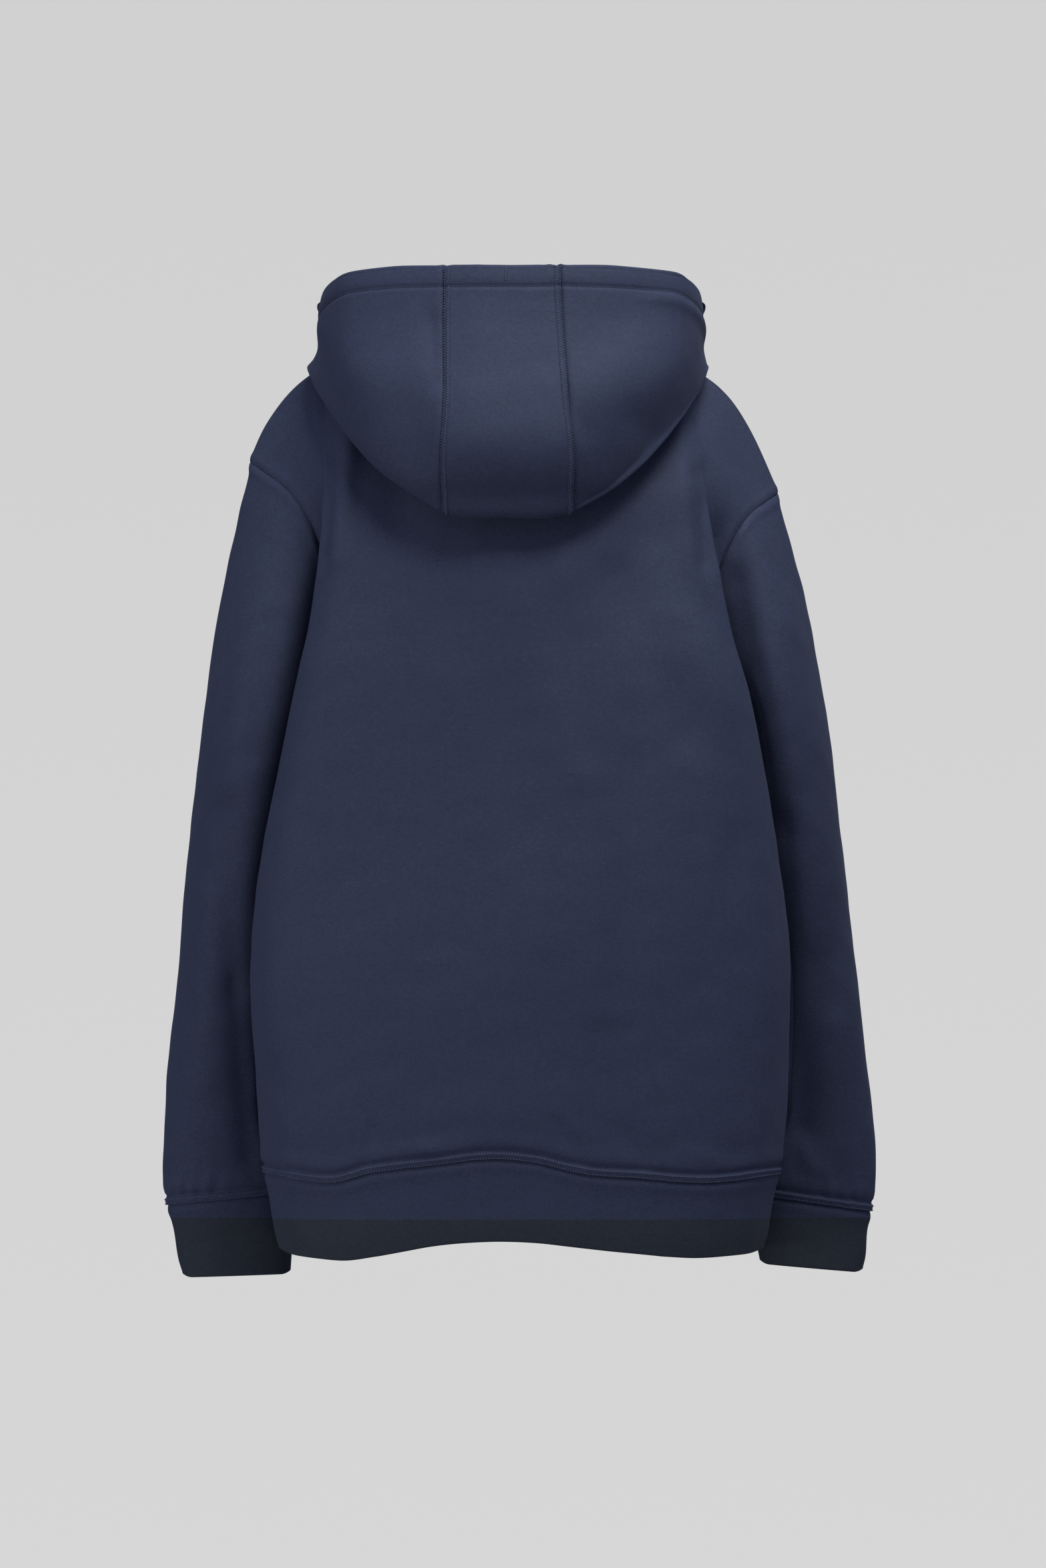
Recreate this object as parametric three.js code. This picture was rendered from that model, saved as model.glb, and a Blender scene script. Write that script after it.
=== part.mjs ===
// Pullover hoodie, filled out as if worn, with its hood down on the back.
// Millimetres. +X is the wearer's right, +Y the wearer's front, +Z up.
// The origin is between the two neck points of the shoulders, where the wearer holds the garment up.

import * as THREE from 'three';

// Driving sizes
const CLOTH = 2.5;            // brushed sweatshirt cloth, one layer
const RIB = 2.8;              // rib knit of the cuffs and the hem band
const CASING = 4.4;           // hood edge turned in and stitched down, two layers
const SEAM_GAP = 0.3;         // between two sewn pieces
const REST_GAP = 2;           // between cloth and the cloth it rests on
const REST_REACH = 45;        // cloth further off than this isn't resting on it

// Segments of the surfaces
const NECK_COLUMNS = 7;       // from the centre line to the neck point
const SHOULDER_COLUMNS = 4;   // from the neck point to the fold of the armhole
const ARMHOLE_COLUMNS = 5;    // from that fold to the armhole or side seam
const LOWER_ROWS = 8;         // from the hem seam to the armpit
const UPPER_ROWS = 10;        // from the armpit to the shoulder point
const SLEEVE_ROWS = 18;
const CUFF_ROWS = 3;
const BAND_ROWS = 4;
const STRIP_COLUMNS = 3;      // half of the hood's centre strip
const HOOD_STEPS = [2, 2, 3, 2, 3, 3, 2]; // rows between one hood line and the next

const HALF_COLUMNS = NECK_COLUMNS + SHOULDER_COLUMNS + ARMHOLE_COLUMNS;
const BODY_ROWS = LOWER_ROWS + UPPER_ROWS;
const LEFT = -1;
const RIGHT = 1;

// Body, by level: 0 at the hem seam, 1 at the armpit, 2 at the shoulder.
// mid is the centre line, edge the fullest line of the panel, side the side seam and then the armhole seam.
const BACK = [
  { level: 0.00, midY: -114, midZ: -640, edgeXL: 202, edgeXR: 206, edgeY: -32, edgeZL: -640, edgeZR: -640 },
  { level: 0.10, midY: -119, midZ: -608, edgeXL: 206, edgeXR: 211, edgeY: -35, edgeZL: -608, edgeZR: -608 },
  { level: 0.25, midY: -120, midZ: -560, edgeXL: 209, edgeXR: 214, edgeY: -38, edgeZL: -560, edgeZR: -560 },
  { level: 0.50, midY: -119, midZ: -465, edgeXL: 212, edgeXR: 215, edgeY: -44, edgeZL: -465, edgeZR: -465 },
  { level: 0.75, midY: -120, midZ: -368, edgeXL: 202, edgeXR: 203, edgeY: -56, edgeZL: -368, edgeZR: -368 },
  { level: 1.00, midY: -123, midZ: -262, edgeXL: 181, edgeXR: 185, edgeY: -70, edgeZL: -265, edgeZR: -265 },
  { level: 1.25, midY: -123, midZ: -192, edgeXL: 166, edgeXR: 168, edgeY: -80, edgeZL: -196, edgeZR: -200 },
  { level: 1.50, midY: -119, midZ: -122, edgeXL: 156, edgeXR: 154, edgeY: -80, edgeZL: -130, edgeZR: -140 },
  { level: 1.75, midY: -107, midZ: -55, edgeXL: 151, edgeXR: 141, edgeY: -62, edgeZL: -60, edgeZR: -72 },
  { level: 2.00, midY: -80, midZ: 12, edgeXL: 146, edgeXR: 133, edgeY: 3, edgeZL: 12, edgeZR: 8 },
];
const FRONT = [
  { level: 0.00, midY: 112, midZ: -640, edgeXL: 198, edgeXR: 202, edgeY: 38, edgeZL: -640, edgeZR: -640 },
  { level: 0.10, midY: 118, midZ: -608, edgeXL: 202, edgeXR: 206, edgeY: 44, edgeZL: -608, edgeZR: -608 },
  { level: 0.25, midY: 121, midZ: -560, edgeXL: 204, edgeXR: 208, edgeY: 50, edgeZL: -560, edgeZR: -560 },
  { level: 0.50, midY: 124, midZ: -465, edgeXL: 205, edgeXR: 208, edgeY: 60, edgeZL: -465, edgeZR: -465 },
  { level: 0.75, midY: 129, midZ: -368, edgeXL: 194, edgeXR: 196, edgeY: 74, edgeZL: -368, edgeZR: -368 },
  { level: 1.00, midY: 133, midZ: -262, edgeXL: 177, edgeXR: 179, edgeY: 88, edgeZL: -265, edgeZR: -265 },
  { level: 1.25, midY: 132, midZ: -210, edgeXL: 166, edgeXR: 166, edgeY: 95, edgeZL: -196, edgeZR: -200 },
  { level: 1.50, midY: 126, midZ: -158, edgeXL: 158, edgeXR: 155, edgeY: 88, edgeZL: -130, edgeZR: -140 },
  { level: 1.75, midY: 112, midZ: -106, edgeXL: 151, edgeXR: 144, edgeY: 62, edgeZL: -60, edgeZR: -72 },
  { level: 2.00, midY: 92, midZ: -58, edgeXL: 146, edgeXR: 133, edgeY: 3, edgeZL: 12, edgeZR: 8 },
];
// How a panel bends round from its edge to its side, as shares of the way. hold is how square it meets the
// seam, where the seam lies further out than the edge and where it lies under it.
const FOLD = { forward: 0.5, outward: 0.6, holdOver: 0.05, holdUnder: 0.45, drop: 0.2 };
// Side seam.
const SIDE_SEAM = [
  { level: 0.00, xL: 200, xR: 204, backY: 3, frontY: 3, zL: -640, zR: -640 },
  { level: 0.25, xL: 205, xR: 209, backY: 6, frontY: 6, zL: -560, zR: -560 },
  { level: 0.50, xL: 203, xR: 206, backY: 10, frontY: 10, zL: -465, zR: -465 },
  { level: 0.75, xL: 183, xR: 185, backY: 14, frontY: 14, zL: -368, zR: -368 },
  { level: 1.00, xL: 158, xR: 161, backY: 16, frontY: 16, zL: -262, zR: -266 },
];
// The two branches of the armhole seam, from the armpit to the shoulder point.
const ARMHOLE = [
  { level: 1.00, xL: 158, xR: 161, backY: 16, frontY: 16, zL: -262, zR: -266 },
  { level: 1.25, xL: 151, xR: 152, backY: -14, frontY: 52, zL: -205, zR: -212 },
  { level: 1.50, xL: 157, xR: 159, backY: -38, frontY: 66, zL: -143, zR: -158 },
  { level: 1.75, xL: 180, xR: 180, backY: -36, frontY: 52, zL: -97, zR: -116 },
  { level: 2.00, xL: 215, xR: 207, backY: 3, frontY: 3, zL: -70, zR: -95 },
];
// Top edge of a body half: the neckline to the neck point, then the shoulder seam.
const NECKLINE_X = [0, 14, 28, 42, 55, 68, 80, 88];
const NECK_CURVE = { drop: 2.3, rise: 0.75 }; // how square it is, seen from above and from the back
const SHOULDER_SHARE = [0.72, 0.83, 0.93, 1]; // columns past the neck point, as shares of the way out
const EDGE_X = 146;           // from the centre line to the panel's edge at the shoulder
const CROWN = { flat: 2.4, round: 0.42 };     // how flat the middle of a panel is, and how round its edge
const NECK_POINT = { x: 88, y: 3, z: 33 };
const BACK_NECK = { y: -80, z: 12 };
const FRONT_NECK = { y: 92, z: -58 };
const SHOULDER = [
  { reach: 0.00, xL: 88, xR: 88, zL: 33, zR: 33 },
  { reach: 0.45, xL: 146, xR: 133, zL: 12, zR: 8 },
  { reach: 0.62, xL: 172, xR: 155, zL: -5, zR: -7 },
  { reach: 0.75, xL: 188, xR: 170, zL: -21, zR: -22 },
  { reach: 0.88, xL: 203, xR: 187, zL: -43, zR: -50 },
  { reach: 1.00, xL: 215, xR: 207, zL: -70, zR: -95 },
];
// How far the back of the hem rises between the two side folds.
const HEM_WAVE_X = 210;       // past this the wave stays as it is
const HEM_WAVE = [
  { x: -210, seam: 6, edge: 6 },
  { x: -150, seam: -3, edge: -1 },
  { x: -116, seam: 5, edge: 3 },
  { x: -68, seam: 11, edge: 11 },
  { x: -23, seam: 16, edge: 14 },
  { x: 14, seam: 13, edge: 13 },
  { x: 52, seam: 4, edge: 9 },
  { x: 92, seam: 1, edge: 5 },
  { x: 150, seam: -3, edge: 1 },
  { x: 210, seam: 4, edge: 6 },
];
const FRONT_WAVE = 17;        // the front of the hem rises this far, in one plain arch
const HEM_WAVE_TOP = 0.7;     // level at which the wave has died out
const NECK_PULL_FROM = 1.05;  // level from which the neckline draws the panels in
const PULL_SPREAD = 2.5;      // how fast that pull spreads sideways, row by row

// Hem band, by depth: 0 at its seam, 1 at its lower edge. inset is from the outline at the hem seam.
const HEM_HALF = { x: 205, y: 115 };
const FRONT_INSET = 0.75;     // share of the inset from back to front
const BAND = [
  { depth: 0.00, inset: 0, z: -640 },
  { depth: 0.30, inset: 4.0, z: -658 },
  { depth: 0.80, inset: 9.5, z: -692 },
  { depth: 1.00, inset: 12.5, z: -704 },
];

// Sleeve, by reach: 0 at the armhole, 1 at the cuff. out is the line down from the shoulder point, in the
// line down from the armpit.
const SLEEVE = [
  { reach: 0.00, outXL: 215, outXR: 207, outZL: -70, outZR: -95, inX: 158, inZ: -262, midY: 8, halfY: 56 },
  {
    reach: 0.10, outXL: 227, outXR: 219, outZL: -127, outZR: -143,
    inX: 167, inZ: -276, midY: 10, halfY: 68,
  },
  {
    reach: 0.22, outXL: 240, outXR: 233, outZL: -196, outZR: -204,
    inX: 173, inZ: -298, midY: 16, halfY: 76,
  },
  {
    reach: 0.36, outXL: 252, outXR: 247, outZL: -282, outZR: -286,
    inX: 180, inZ: -338, midY: 26, halfY: 76,
  },
  {
    reach: 0.50, outXL: 262, outXR: 257, outZL: -365, outZR: -368,
    inX: 186, inZ: -392, midY: 38, halfY: 70,
  },
  {
    reach: 0.65, outXL: 270, outXR: 267, outZL: -454, outZR: -456,
    inX: 188, inZ: -462, midY: 52, halfY: 59,
  },
  {
    reach: 0.80, outXL: 279, outXR: 278, outZL: -543, outZR: -545,
    inX: 187, inZ: -541, midY: 66, halfY: 46,
  },
  {
    reach: 0.93, outXL: 284, outXR: 284, outZL: -622, outZR: -625,
    inX: 180, inZ: -615, midY: 77, halfY: 33,
  },
  {
    reach: 0.98, outXL: 284, outXR: 284, outZL: -651, outZR: -655,
    inX: 177, inZ: -643, midY: 80, halfY: 28,
  },
  {
    reach: 1.00, outXL: 281, outXR: 281, outZL: -662, outZR: -667,
    inX: 179, inZ: -652, midY: 80, halfY: 25,
  },
];
const CUFF = [
  {
    depth: 0.00, outXL: 281, outXR: 281, outZL: -662, outZR: -667, inXL: 179,
    inXR: 179, inZL: -652, inZR: -652, midY: 80, halfY: 25,
  },
  {
    depth: 0.15, outXL: 277, outXR: 278, outZL: -670, outZR: -674, inXL: 181,
    inXR: 182, inZL: -661, inZR: -660, midY: 80, halfY: 23,
  },
  {
    depth: 0.60, outXL: 273, outXR: 277, outZL: -698, outZR: -697, inXL: 181,
    inXR: 188, inZL: -692, inZR: -686, midY: 81, halfY: 20,
  },
  {
    depth: 1.00, outXL: 268, outXR: 274, outZL: -720, outZR: -716, inXL: 182,
    inXR: 192, inZL: -717, inZR: -709, midY: 82, halfY: 19,
  },
];
const ARMHOLE_FADE = 0.34;    // by this reach the sleeve has lost the armhole's own outline
const FADE_CURVE = 1.6;
// How far cloth keeps off what it rests on, in rest gaps, row by row from its seam.
const SLEEVE_REST = { first: 0.7, step: 0.3, last: 2 };
const CUFF_REST = 1.6;
const HOOD_REST = { first: 0.4, step: 0.25 };

// Hood lines, each a loop round the neck, from the neckline up over the stand, down to the fold and up to
// the open edge. A line's columns are its stations from the centre back to the centre front of one half.
// middle is how far it has slipped sideways. seams says where on it the left and right seams of the centre
// strip lie, in stations.
const HOOD_STATIONS = [0, 3, 5, 8, 11, 14]; // back, strip seam, back corner, side, chest, front
const HOOD_LINES = {
  rise: {
    middle: -1, seams: [1, 1],
    x: [0, 36, 66, 90, 62, 0], y: [-84, -82, -62, 14, 68, 94], z: [46, 46, 46, 38, 2, -51],
  },
  roll: {
    middle: -4, seams: [1, 1],
    x: [0, 38, 76, 112, 80, 0], y: [-98, -96, -80, 6, 72, 97], z: [50, 50, 50, 38, 6, -46],
  },
  under: {
    middle: -8, seams: [1.06, 1.07],
    x: [0, 42, 92, 150, 110, 0], y: [-128, -126, -106, -14, 68, 98], z: [-96, -94, -46, 14, -4, -42],
  },
  fold: {
    middle: -9, seams: [1.06, 1.07],
    x: [0, 48, 109, 159, 122, 0], y: [-148, -145, -118, -16, 66, 99], z: [-115, -112, -71, 3, -6, -39],
  },
  belly: {
    middle: -7, seams: [1.10, 1.02],
    x: [0, 45, 122, 154, 126, 0], y: [-172, -168, -124, -18, 64, 99], z: [-38, -36, -10, 18, 6, -36],
  },
  lip: {
    middle: -7, seams: [1.12, 0.953],
    x: [0, 43, 127, 154, 119, 0], y: [-147, -144, -104, -14, 61, 97], z: [40, 40, 38, 36, 14, -34],
  },
  rim: {
    middle: -6, seams: [1.125, 0.884],
    x: [0, 43, 128, 151, 112, 0], y: [-138, -135, -90, -12, 58, 95], z: [86, 86, 81, 57, 22, -32],
  },
};
const CASING_ROWS = 1;        // rows of the open edge that are turned in

// Value of one column of a table at a place between its rows, on a smooth curve.
function track(table, place, key, column) {
  const last = table.length - 1;
  let i = 0;
  while (i < last - 1 && table[i + 1][key] < place) i += 1;
  const low = table[i];
  const high = table[i + 1];
  const before = table[Math.max(i - 1, 0)];
  const after = table[Math.min(i + 2, last)];
  const span = high[key] - low[key];
  const share = Math.min(Math.max((place - low[key]) / span, 0), 1);
  const slope = (a, b) => (b[column] - a[column]) / Math.max(b[key] - a[key], 1e-9);
  const startSlope = slope(before, high) * span;
  const endSlope = slope(low, after) * span;
  const s2 = share * share;
  const s3 = s2 * share;
  return (2 * s3 - 3 * s2 + 1) * low[column] + (s3 - 2 * s2 + share) * startSlope
    + (3 * s2 - 2 * s3) * high[column] + (s3 - s2) * endSlope;
}

const mix = (a, b, share) => a + (b - a) * share;
const smooth = (share) => share * share * (3 - 2 * share);
const sideKey = (side) => (side === LEFT ? 'L' : 'R');
const levelOf = (row) => (row <= LOWER_ROWS ? row / LOWER_ROWS : 1 + (row - LOWER_ROWS) / UPPER_ROWS);

// Share of the way from the centre line to the edge at which each column lies.
const COLUMN_SHARE = [
  ...NECKLINE_X.map((x) => x / EDGE_X),
  ...SHOULDER_SHARE,
];

// A point of the neckline or shoulder seam, for a column of one half of a panel.
function topPoint(side, column, neck) {
  const k = sideKey(side);
  if (column <= NECK_COLUMNS) {
    const share = NECKLINE_X[column] / NECK_POINT.x;
    const drop = Math.sqrt(1 - share ** NECK_CURVE.drop);
    const rise = 1 - (1 - share ** 2) ** NECK_CURVE.rise;
    const y = mix(NECK_POINT.y, neck.y, drop);
    return new THREE.Vector3(side * NECKLINE_X[column], y, mix(neck.z, NECK_POINT.z, rise));
  }
  const past = column - NECK_COLUMNS;
  const edge = SHOULDER[1].reach;
  const reach = past <= SHOULDER_COLUMNS
    ? edge * (past / SHOULDER_COLUMNS)
    : mix(edge, 1, (past - SHOULDER_COLUMNS) / ARMHOLE_COLUMNS);
  const at = (name) => track(SHOULDER, reach, 'reach', name);
  return new THREE.Vector3(side * at(`x${k}`), NECK_POINT.y, at(`z${k}`));
}

// A point on the plain barrel of one half panel, before the neckline pulls on it.
function barrelPoint(panel, side, column, level) {
  const k = sideKey(side);
  const at = (name) => track(panel.table, level, 'level', name);
  const edge = new THREE.Vector3(side * at(`edgeX${k}`), at('edgeY'), at(`edgeZ${k}`));
  const toEdge = NECK_COLUMNS + SHOULDER_COLUMNS;
  if (column <= toEdge) {
    const share = COLUMN_SHARE[column];
    const crown = (1 - share ** CROWN.flat) ** CROWN.round;
    const y = mix(edge.y, at('midY'), crown);
    return new THREE.Vector3(edge.x * share, y, mix(at('midZ'), edge.z, smooth(share)));
  }
  const along = (name) => track(level <= 1 ? SIDE_SEAM : ARMHOLE, level, 'level', name);
  const seam = new THREE.Vector3(side * along(`x${k}`), along(`${panel.name}Y`), along(`z${k}`));
  const share = (column - toEdge) / ARMHOLE_COLUMNS;
  const forward = Math.abs(seam.y - edge.y) * FOLD.forward * panel.facing;
  const outward = Math.max(Math.abs(seam.x) - Math.abs(edge.x), 0) * FOLD.outward * side;
  const hold = outward ? FOLD.holdOver : FOLD.holdUnder;
  const nearEdge = new THREE.Vector3(edge.x, edge.y - forward, mix(edge.z, seam.z, FOLD.drop));
  const nearSeam = new THREE.Vector3(
    seam.x - outward,
    mix(seam.y, edge.y, hold),
    mix(seam.z, edge.z, FOLD.drop),
  );
  return new THREE.CubicBezierCurve3(edge, nearEdge, nearSeam, seam).getPoint(share);
}

const PANELS = {
  back: { name: 'back', table: BACK, facing: -1, neck: BACK_NECK },
  front: { name: 'front', table: FRONT, facing: 1, neck: FRONT_NECK },
};

// How far the hem rises at a place of a panel. share runs from the centre line to the side seam.
function hemLift(panel, x, share, which) {
  const back = track(HEM_WAVE, Math.min(Math.max(x, -HEM_WAVE_X), HEM_WAVE_X), 'x', which);
  return panel.name === 'back' ? back : mix(FRONT_WAVE, back, smooth(share));
}

// How far the neckline and shoulder seam draw each column of a half away from the barrel.
function neckPull(panel, side) {
  const pull = [];
  for (let column = 0; column <= HALF_COLUMNS; column += 1) {
    pull.push(topPoint(side, column, panel.neck).sub(barrelPoint(panel, side, column, 2)));
  }
  return pull;
}

// The same pull spread over its neighbours, the ends held.
function spread(pull, times) {
  let now = pull;
  for (let turn = 0; turn < times; turn += 1) {
    now = now.map((v, i) => {
      if (i === now.length - 1) return v.clone();
      const before = i === 0 ? new THREE.Vector3(-now[1].x, now[1].y, now[1].z) : now[i - 1];
      return v.clone().multiplyScalar(2).add(before).add(now[i + 1]).multiplyScalar(0.25);
    });
  }
  return now;
}

// One body panel as rows of points, from its left seam to its right seam.
function bodyPanel(panel) {
  const rows = [];
  const pulls = { [LEFT]: neckPull(panel, LEFT), [RIGHT]: neckPull(panel, RIGHT) };
  for (let row = 0; row <= BODY_ROWS; row += 1) {
    const level = levelOf(row);
    const share = Math.max(level - NECK_PULL_FROM, 0) / (2 - NECK_PULL_FROM);
    const turns = Math.round(PULL_SPREAD * (BODY_ROWS - row));
    const pull = { [LEFT]: spread(pulls[LEFT], turns), [RIGHT]: spread(pulls[RIGHT], turns) };
    const points = [];
    for (let column = -HALF_COLUMNS; column <= HALF_COLUMNS; column += 1) {
      const side = column < 0 ? LEFT : RIGHT;
      const step = Math.abs(column);
      const point = barrelPoint(panel, side, step, level);
      point.addScaledVector(pull[side][step], share ** 2);
      const wave = Math.max(1 - level / HEM_WAVE_TOP, 0) ** 2;
      point.z += hemLift(panel, point.x, step / HALF_COLUMNS, 'seam') * wave;
      points.push(point);
    }
    rows.push(points);
  }
  return rows;
}

// The hem band as closed rings that start at the wearer's left side seam and go round by the back.
function hemBand(back, front) {
  const share = (i) => Math.abs(i - HALF_COLUMNS) / HALF_COLUMNS;
  const round = (row, panel) => row.map((p, i) => ({ p, panel, share: share(i) }));
  const hem = [...round(back[0], PANELS.back), ...round(front[0], PANELS.front).slice(1, -1).reverse()];
  const rows = [];
  for (let row = 0; row <= BAND_ROWS; row += 1) {
    const depth = row / BAND_ROWS;
    const inset = track(BAND, depth, 'depth', 'inset');
    const z = track(BAND, depth, 'depth', 'z');
    rows.push(hem.map((at) => {
      const out = new THREE.Vector2(at.p.x / HEM_HALF.x, at.p.y / HEM_HALF.y).normalize();
      const lift = (which) => hemLift(at.panel, at.p.x, at.share, which);
      const height = row === 0 ? at.p.z : z + mix(lift('seam'), lift('edge'), depth);
      return new THREE.Vector3(at.p.x - inset * out.x, at.p.y - FRONT_INSET * inset * out.y, height);
    }));
  }
  return rows.reverse();
}

const TOUCH = 1e-4;

// Nearest point of a surface, its outward normal there and the signed height over it.
const closest = new THREE.Vector3();
const triangle = new THREE.Triangle();
function nearestOn(surfaces, point) {
  let best = { distance: Infinity };
  for (const { points, normals } of surfaces) {
    const lastRow = points.length - 2;
    const lastColumn = points[0].length - 2;
    for (let j = 0; j <= lastRow; j += 1) {
      for (let i = 0; i <= lastColumn; i += 1) {
        const [a, b, c, d] = [points[j][i], points[j][i + 1], points[j + 1][i + 1], points[j + 1][i]];
        for (const corners of [[a, b, c], [a, c, d]]) {
          triangle.set(...corners);
          triangle.closestPointToPoint(point, closest);
          const distance = closest.distanceTo(point);
          if (distance < best.distance) {
            const around = [normals[j][i], normals[j][i + 1], normals[j + 1][i + 1], normals[j + 1][i]];
            const normal = around.reduce((sum, n) => sum.add(n), new THREE.Vector3());
            const borders = [];
            if (j === lastRow) borders.push([d, c]);
            if (i === 0) borders.push([a, d]);
            if (i === lastColumn) borders.push([b, c]);
            best = { distance, at: closest.clone(), normal: normal.normalize(), borders };
          }
        }
      }
    }
  }
  best.height = point.clone().sub(best.at).dot(best.normal);
  best.onBorder = best.borders.some(([from, to]) => {
    new THREE.Line3(from, to).closestPointToPoint(best.at, true, closest);
    return closest.distanceTo(best.at) < TOUCH;
  });
  return best;
}

// Moves a point out until it clears the surfaces it would rest on.
function restOn(surfaces, point, gap) {
  for (let turn = 0; turn < 3; turn += 1) {
    const near = nearestOn(surfaces, point);
    if (near.onBorder || Math.abs(near.height) > REST_REACH) return;
    const clear = near.height < 0 ? near.height : Math.max(near.distance, near.height);
    if (clear >= gap) return;
    point.addScaledVector(near.normal, gap - near.height);
  }
}

// Moves whole facets out where their middles come too near the surfaces below. Rows before the first stay.
function clearFacets(rows, surfaces, gap, firstRow, closed) {
  for (let turn = 0; turn < 2; turn += 1) {
    for (let j = firstRow - 1; j + 1 < rows.length; j += 1) {
      const n = rows[j].length;
      for (let i = 0; i < (closed ? n : n - 1); i += 1) {
        const corners = [rows[j][i], rows[j][(i + 1) % n], rows[j + 1][(i + 1) % n], rows[j + 1][i]];
        const middle = corners.reduce((sum, p) => sum.add(p), new THREE.Vector3()).multiplyScalar(0.25);
        const near = nearestOn(surfaces, middle);
        const clear = near.height < 0 ? near.height : Math.max(near.distance, near.height);
        if (near.onBorder || Math.abs(near.height) > REST_REACH || clear >= gap) continue;
        corners.slice(j < firstRow ? 2 : 0).forEach((p) => p.addScaledVector(near.normal, gap - clear));
      }
    }
  }
}

// Outward normals of a grid of points. Rows of a closed grid are rings.
function gridNormals(rows, closed, flip) {
  return rows.map((row, j) => row.map((_, i) => {
    const n = row.length;
    const before = closed ? (i + n - 1) % n : Math.max(i - 1, 0);
    const after = closed ? (i + 1) % n : Math.min(i + 1, n - 1);
    const across = row[after].clone().sub(row[before]);
    const up = rows[Math.min(j + 1, rows.length - 1)][i].clone().sub(rows[Math.max(j - 1, 0)][i]);
    return across.cross(up).multiplyScalar(flip).normalize();
  }));
}

// A piece of cloth: its outer points, their normals, and the wall's thickness at each row.
// set names the pieces it lies in one surface with: the body, the hood, or one arm.
function piece(name, set, slot, rows, { closed = false, flip = 1, wall = () => CLOTH } = {}) {
  return { name, set, slot, points: rows, normals: gridNormals(rows, closed, flip), closed, flip, wall };
}

const keyOf = (p) => [p.x, p.y, p.z].map((v) => Math.round(v * 1000) + 0).join();

// The border of a piece in order, its outside to the right of the way it runs. Each entry has the point
// before it and the one after.
function borderOf(cloth) {
  const { points, closed } = cloth;
  const top = points.length - 1;
  const n = points[0].length;
  const loops = [];
  if (closed) {
    loops.push(points[0].map((_, i) => [0, i]));
    loops.push(points[top].map((_, i) => [top, n - 1 - i]));
  } else {
    const loop = [];
    for (let i = 0; i < n - 1; i += 1) loop.push([0, i]);
    for (let j = 0; j < top; j += 1) loop.push([j, n - 1]);
    for (let i = n - 1; i > 0; i -= 1) loop.push([top, i]);
    for (let j = top; j > 0; j -= 1) loop.push([j, 0]);
    loops.push(loop);
  }
  return loops.flatMap((loop) => loop.map(([j, i], k) => {
    const [jBefore, iBefore] = loop[(k + loop.length - 1) % loop.length];
    const [jAfter, iAfter] = loop[(k + 1) % loop.length];
    return { j, i, before: points[jBefore][iBefore], after: points[jAfter][iAfter] };
  }));
}

// Where pieces meet, gives them one normal and draws each back by half the seam gap.
function sew(cloths) {
  const shared = new Map();
  const borders = new Map(cloths.map((cloth) => [cloth, borderOf(cloth)]));
  for (const [cloth, border] of borders) {
    for (const { j, i } of border) {
      const key = keyOf(cloth.points[j][i]);
      if (!shared.has(key)) shared.set(key, { sets: new Map(), owners: new Map() });
      const entry = shared.get(key);
      if (!entry.sets.has(cloth.set)) entry.sets.set(cloth.set, new THREE.Vector3());
      entry.sets.get(cloth.set).add(cloth.normals[j][i]);
      entry.owners.set(cloth.name, cloth.set);
    }
  }
  const blend = (entry) => {
    const sum = new THREE.Vector3();
    for (const normal of entry.sets.values()) sum.add(normal.clone().normalize());
    return sum.normalize();
  };
  for (const [cloth, border] of borders) {
    const moves = [];
    for (const { j, i, before, after } of border) {
      const p = cloth.points[j][i];
      const entry = shared.get(keyOf(p));
      if (entry.owners.size < 2) continue;
      const seams = [[before, p], [p, after]].map(([from, to]) => {
        const other = shared.get(keyOf(from === p ? to : from));
        const meets = ([name]) => name !== cloth.name && other.owners.has(name);
        const partners = [...entry.owners].filter(meets);
        if (!partners.length) return null;
        const within = partners.every(([, set]) => set === cloth.set);
        const normal = within ? entry.sets.get(cloth.set).clone().normalize() : blend(entry);
        const inward = normal.cross(to.clone().sub(from)).multiplyScalar(cloth.flip).normalize();
        return { partners: partners.map(([name]) => name).join(), inward };
      }).filter(Boolean);
      if (seams.length === 2 && seams[0].partners === seams[1].partners) {
        moves.push([p, seams[0].inward.add(seams[1].inward).normalize()]);
      } else {
        seams.forEach((seam) => moves.push([p, seam.inward]));
      }
      cloth.normals[j][i] = blend(entry);
    }
    for (const [p, inward] of moves) p.addScaledVector(inward, SEAM_GAP / 2);
  }
}

// Any direction that no seam runs square to.
const SPLIT = new THREE.Vector3(0.31, 0.52, 0.79);

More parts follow.
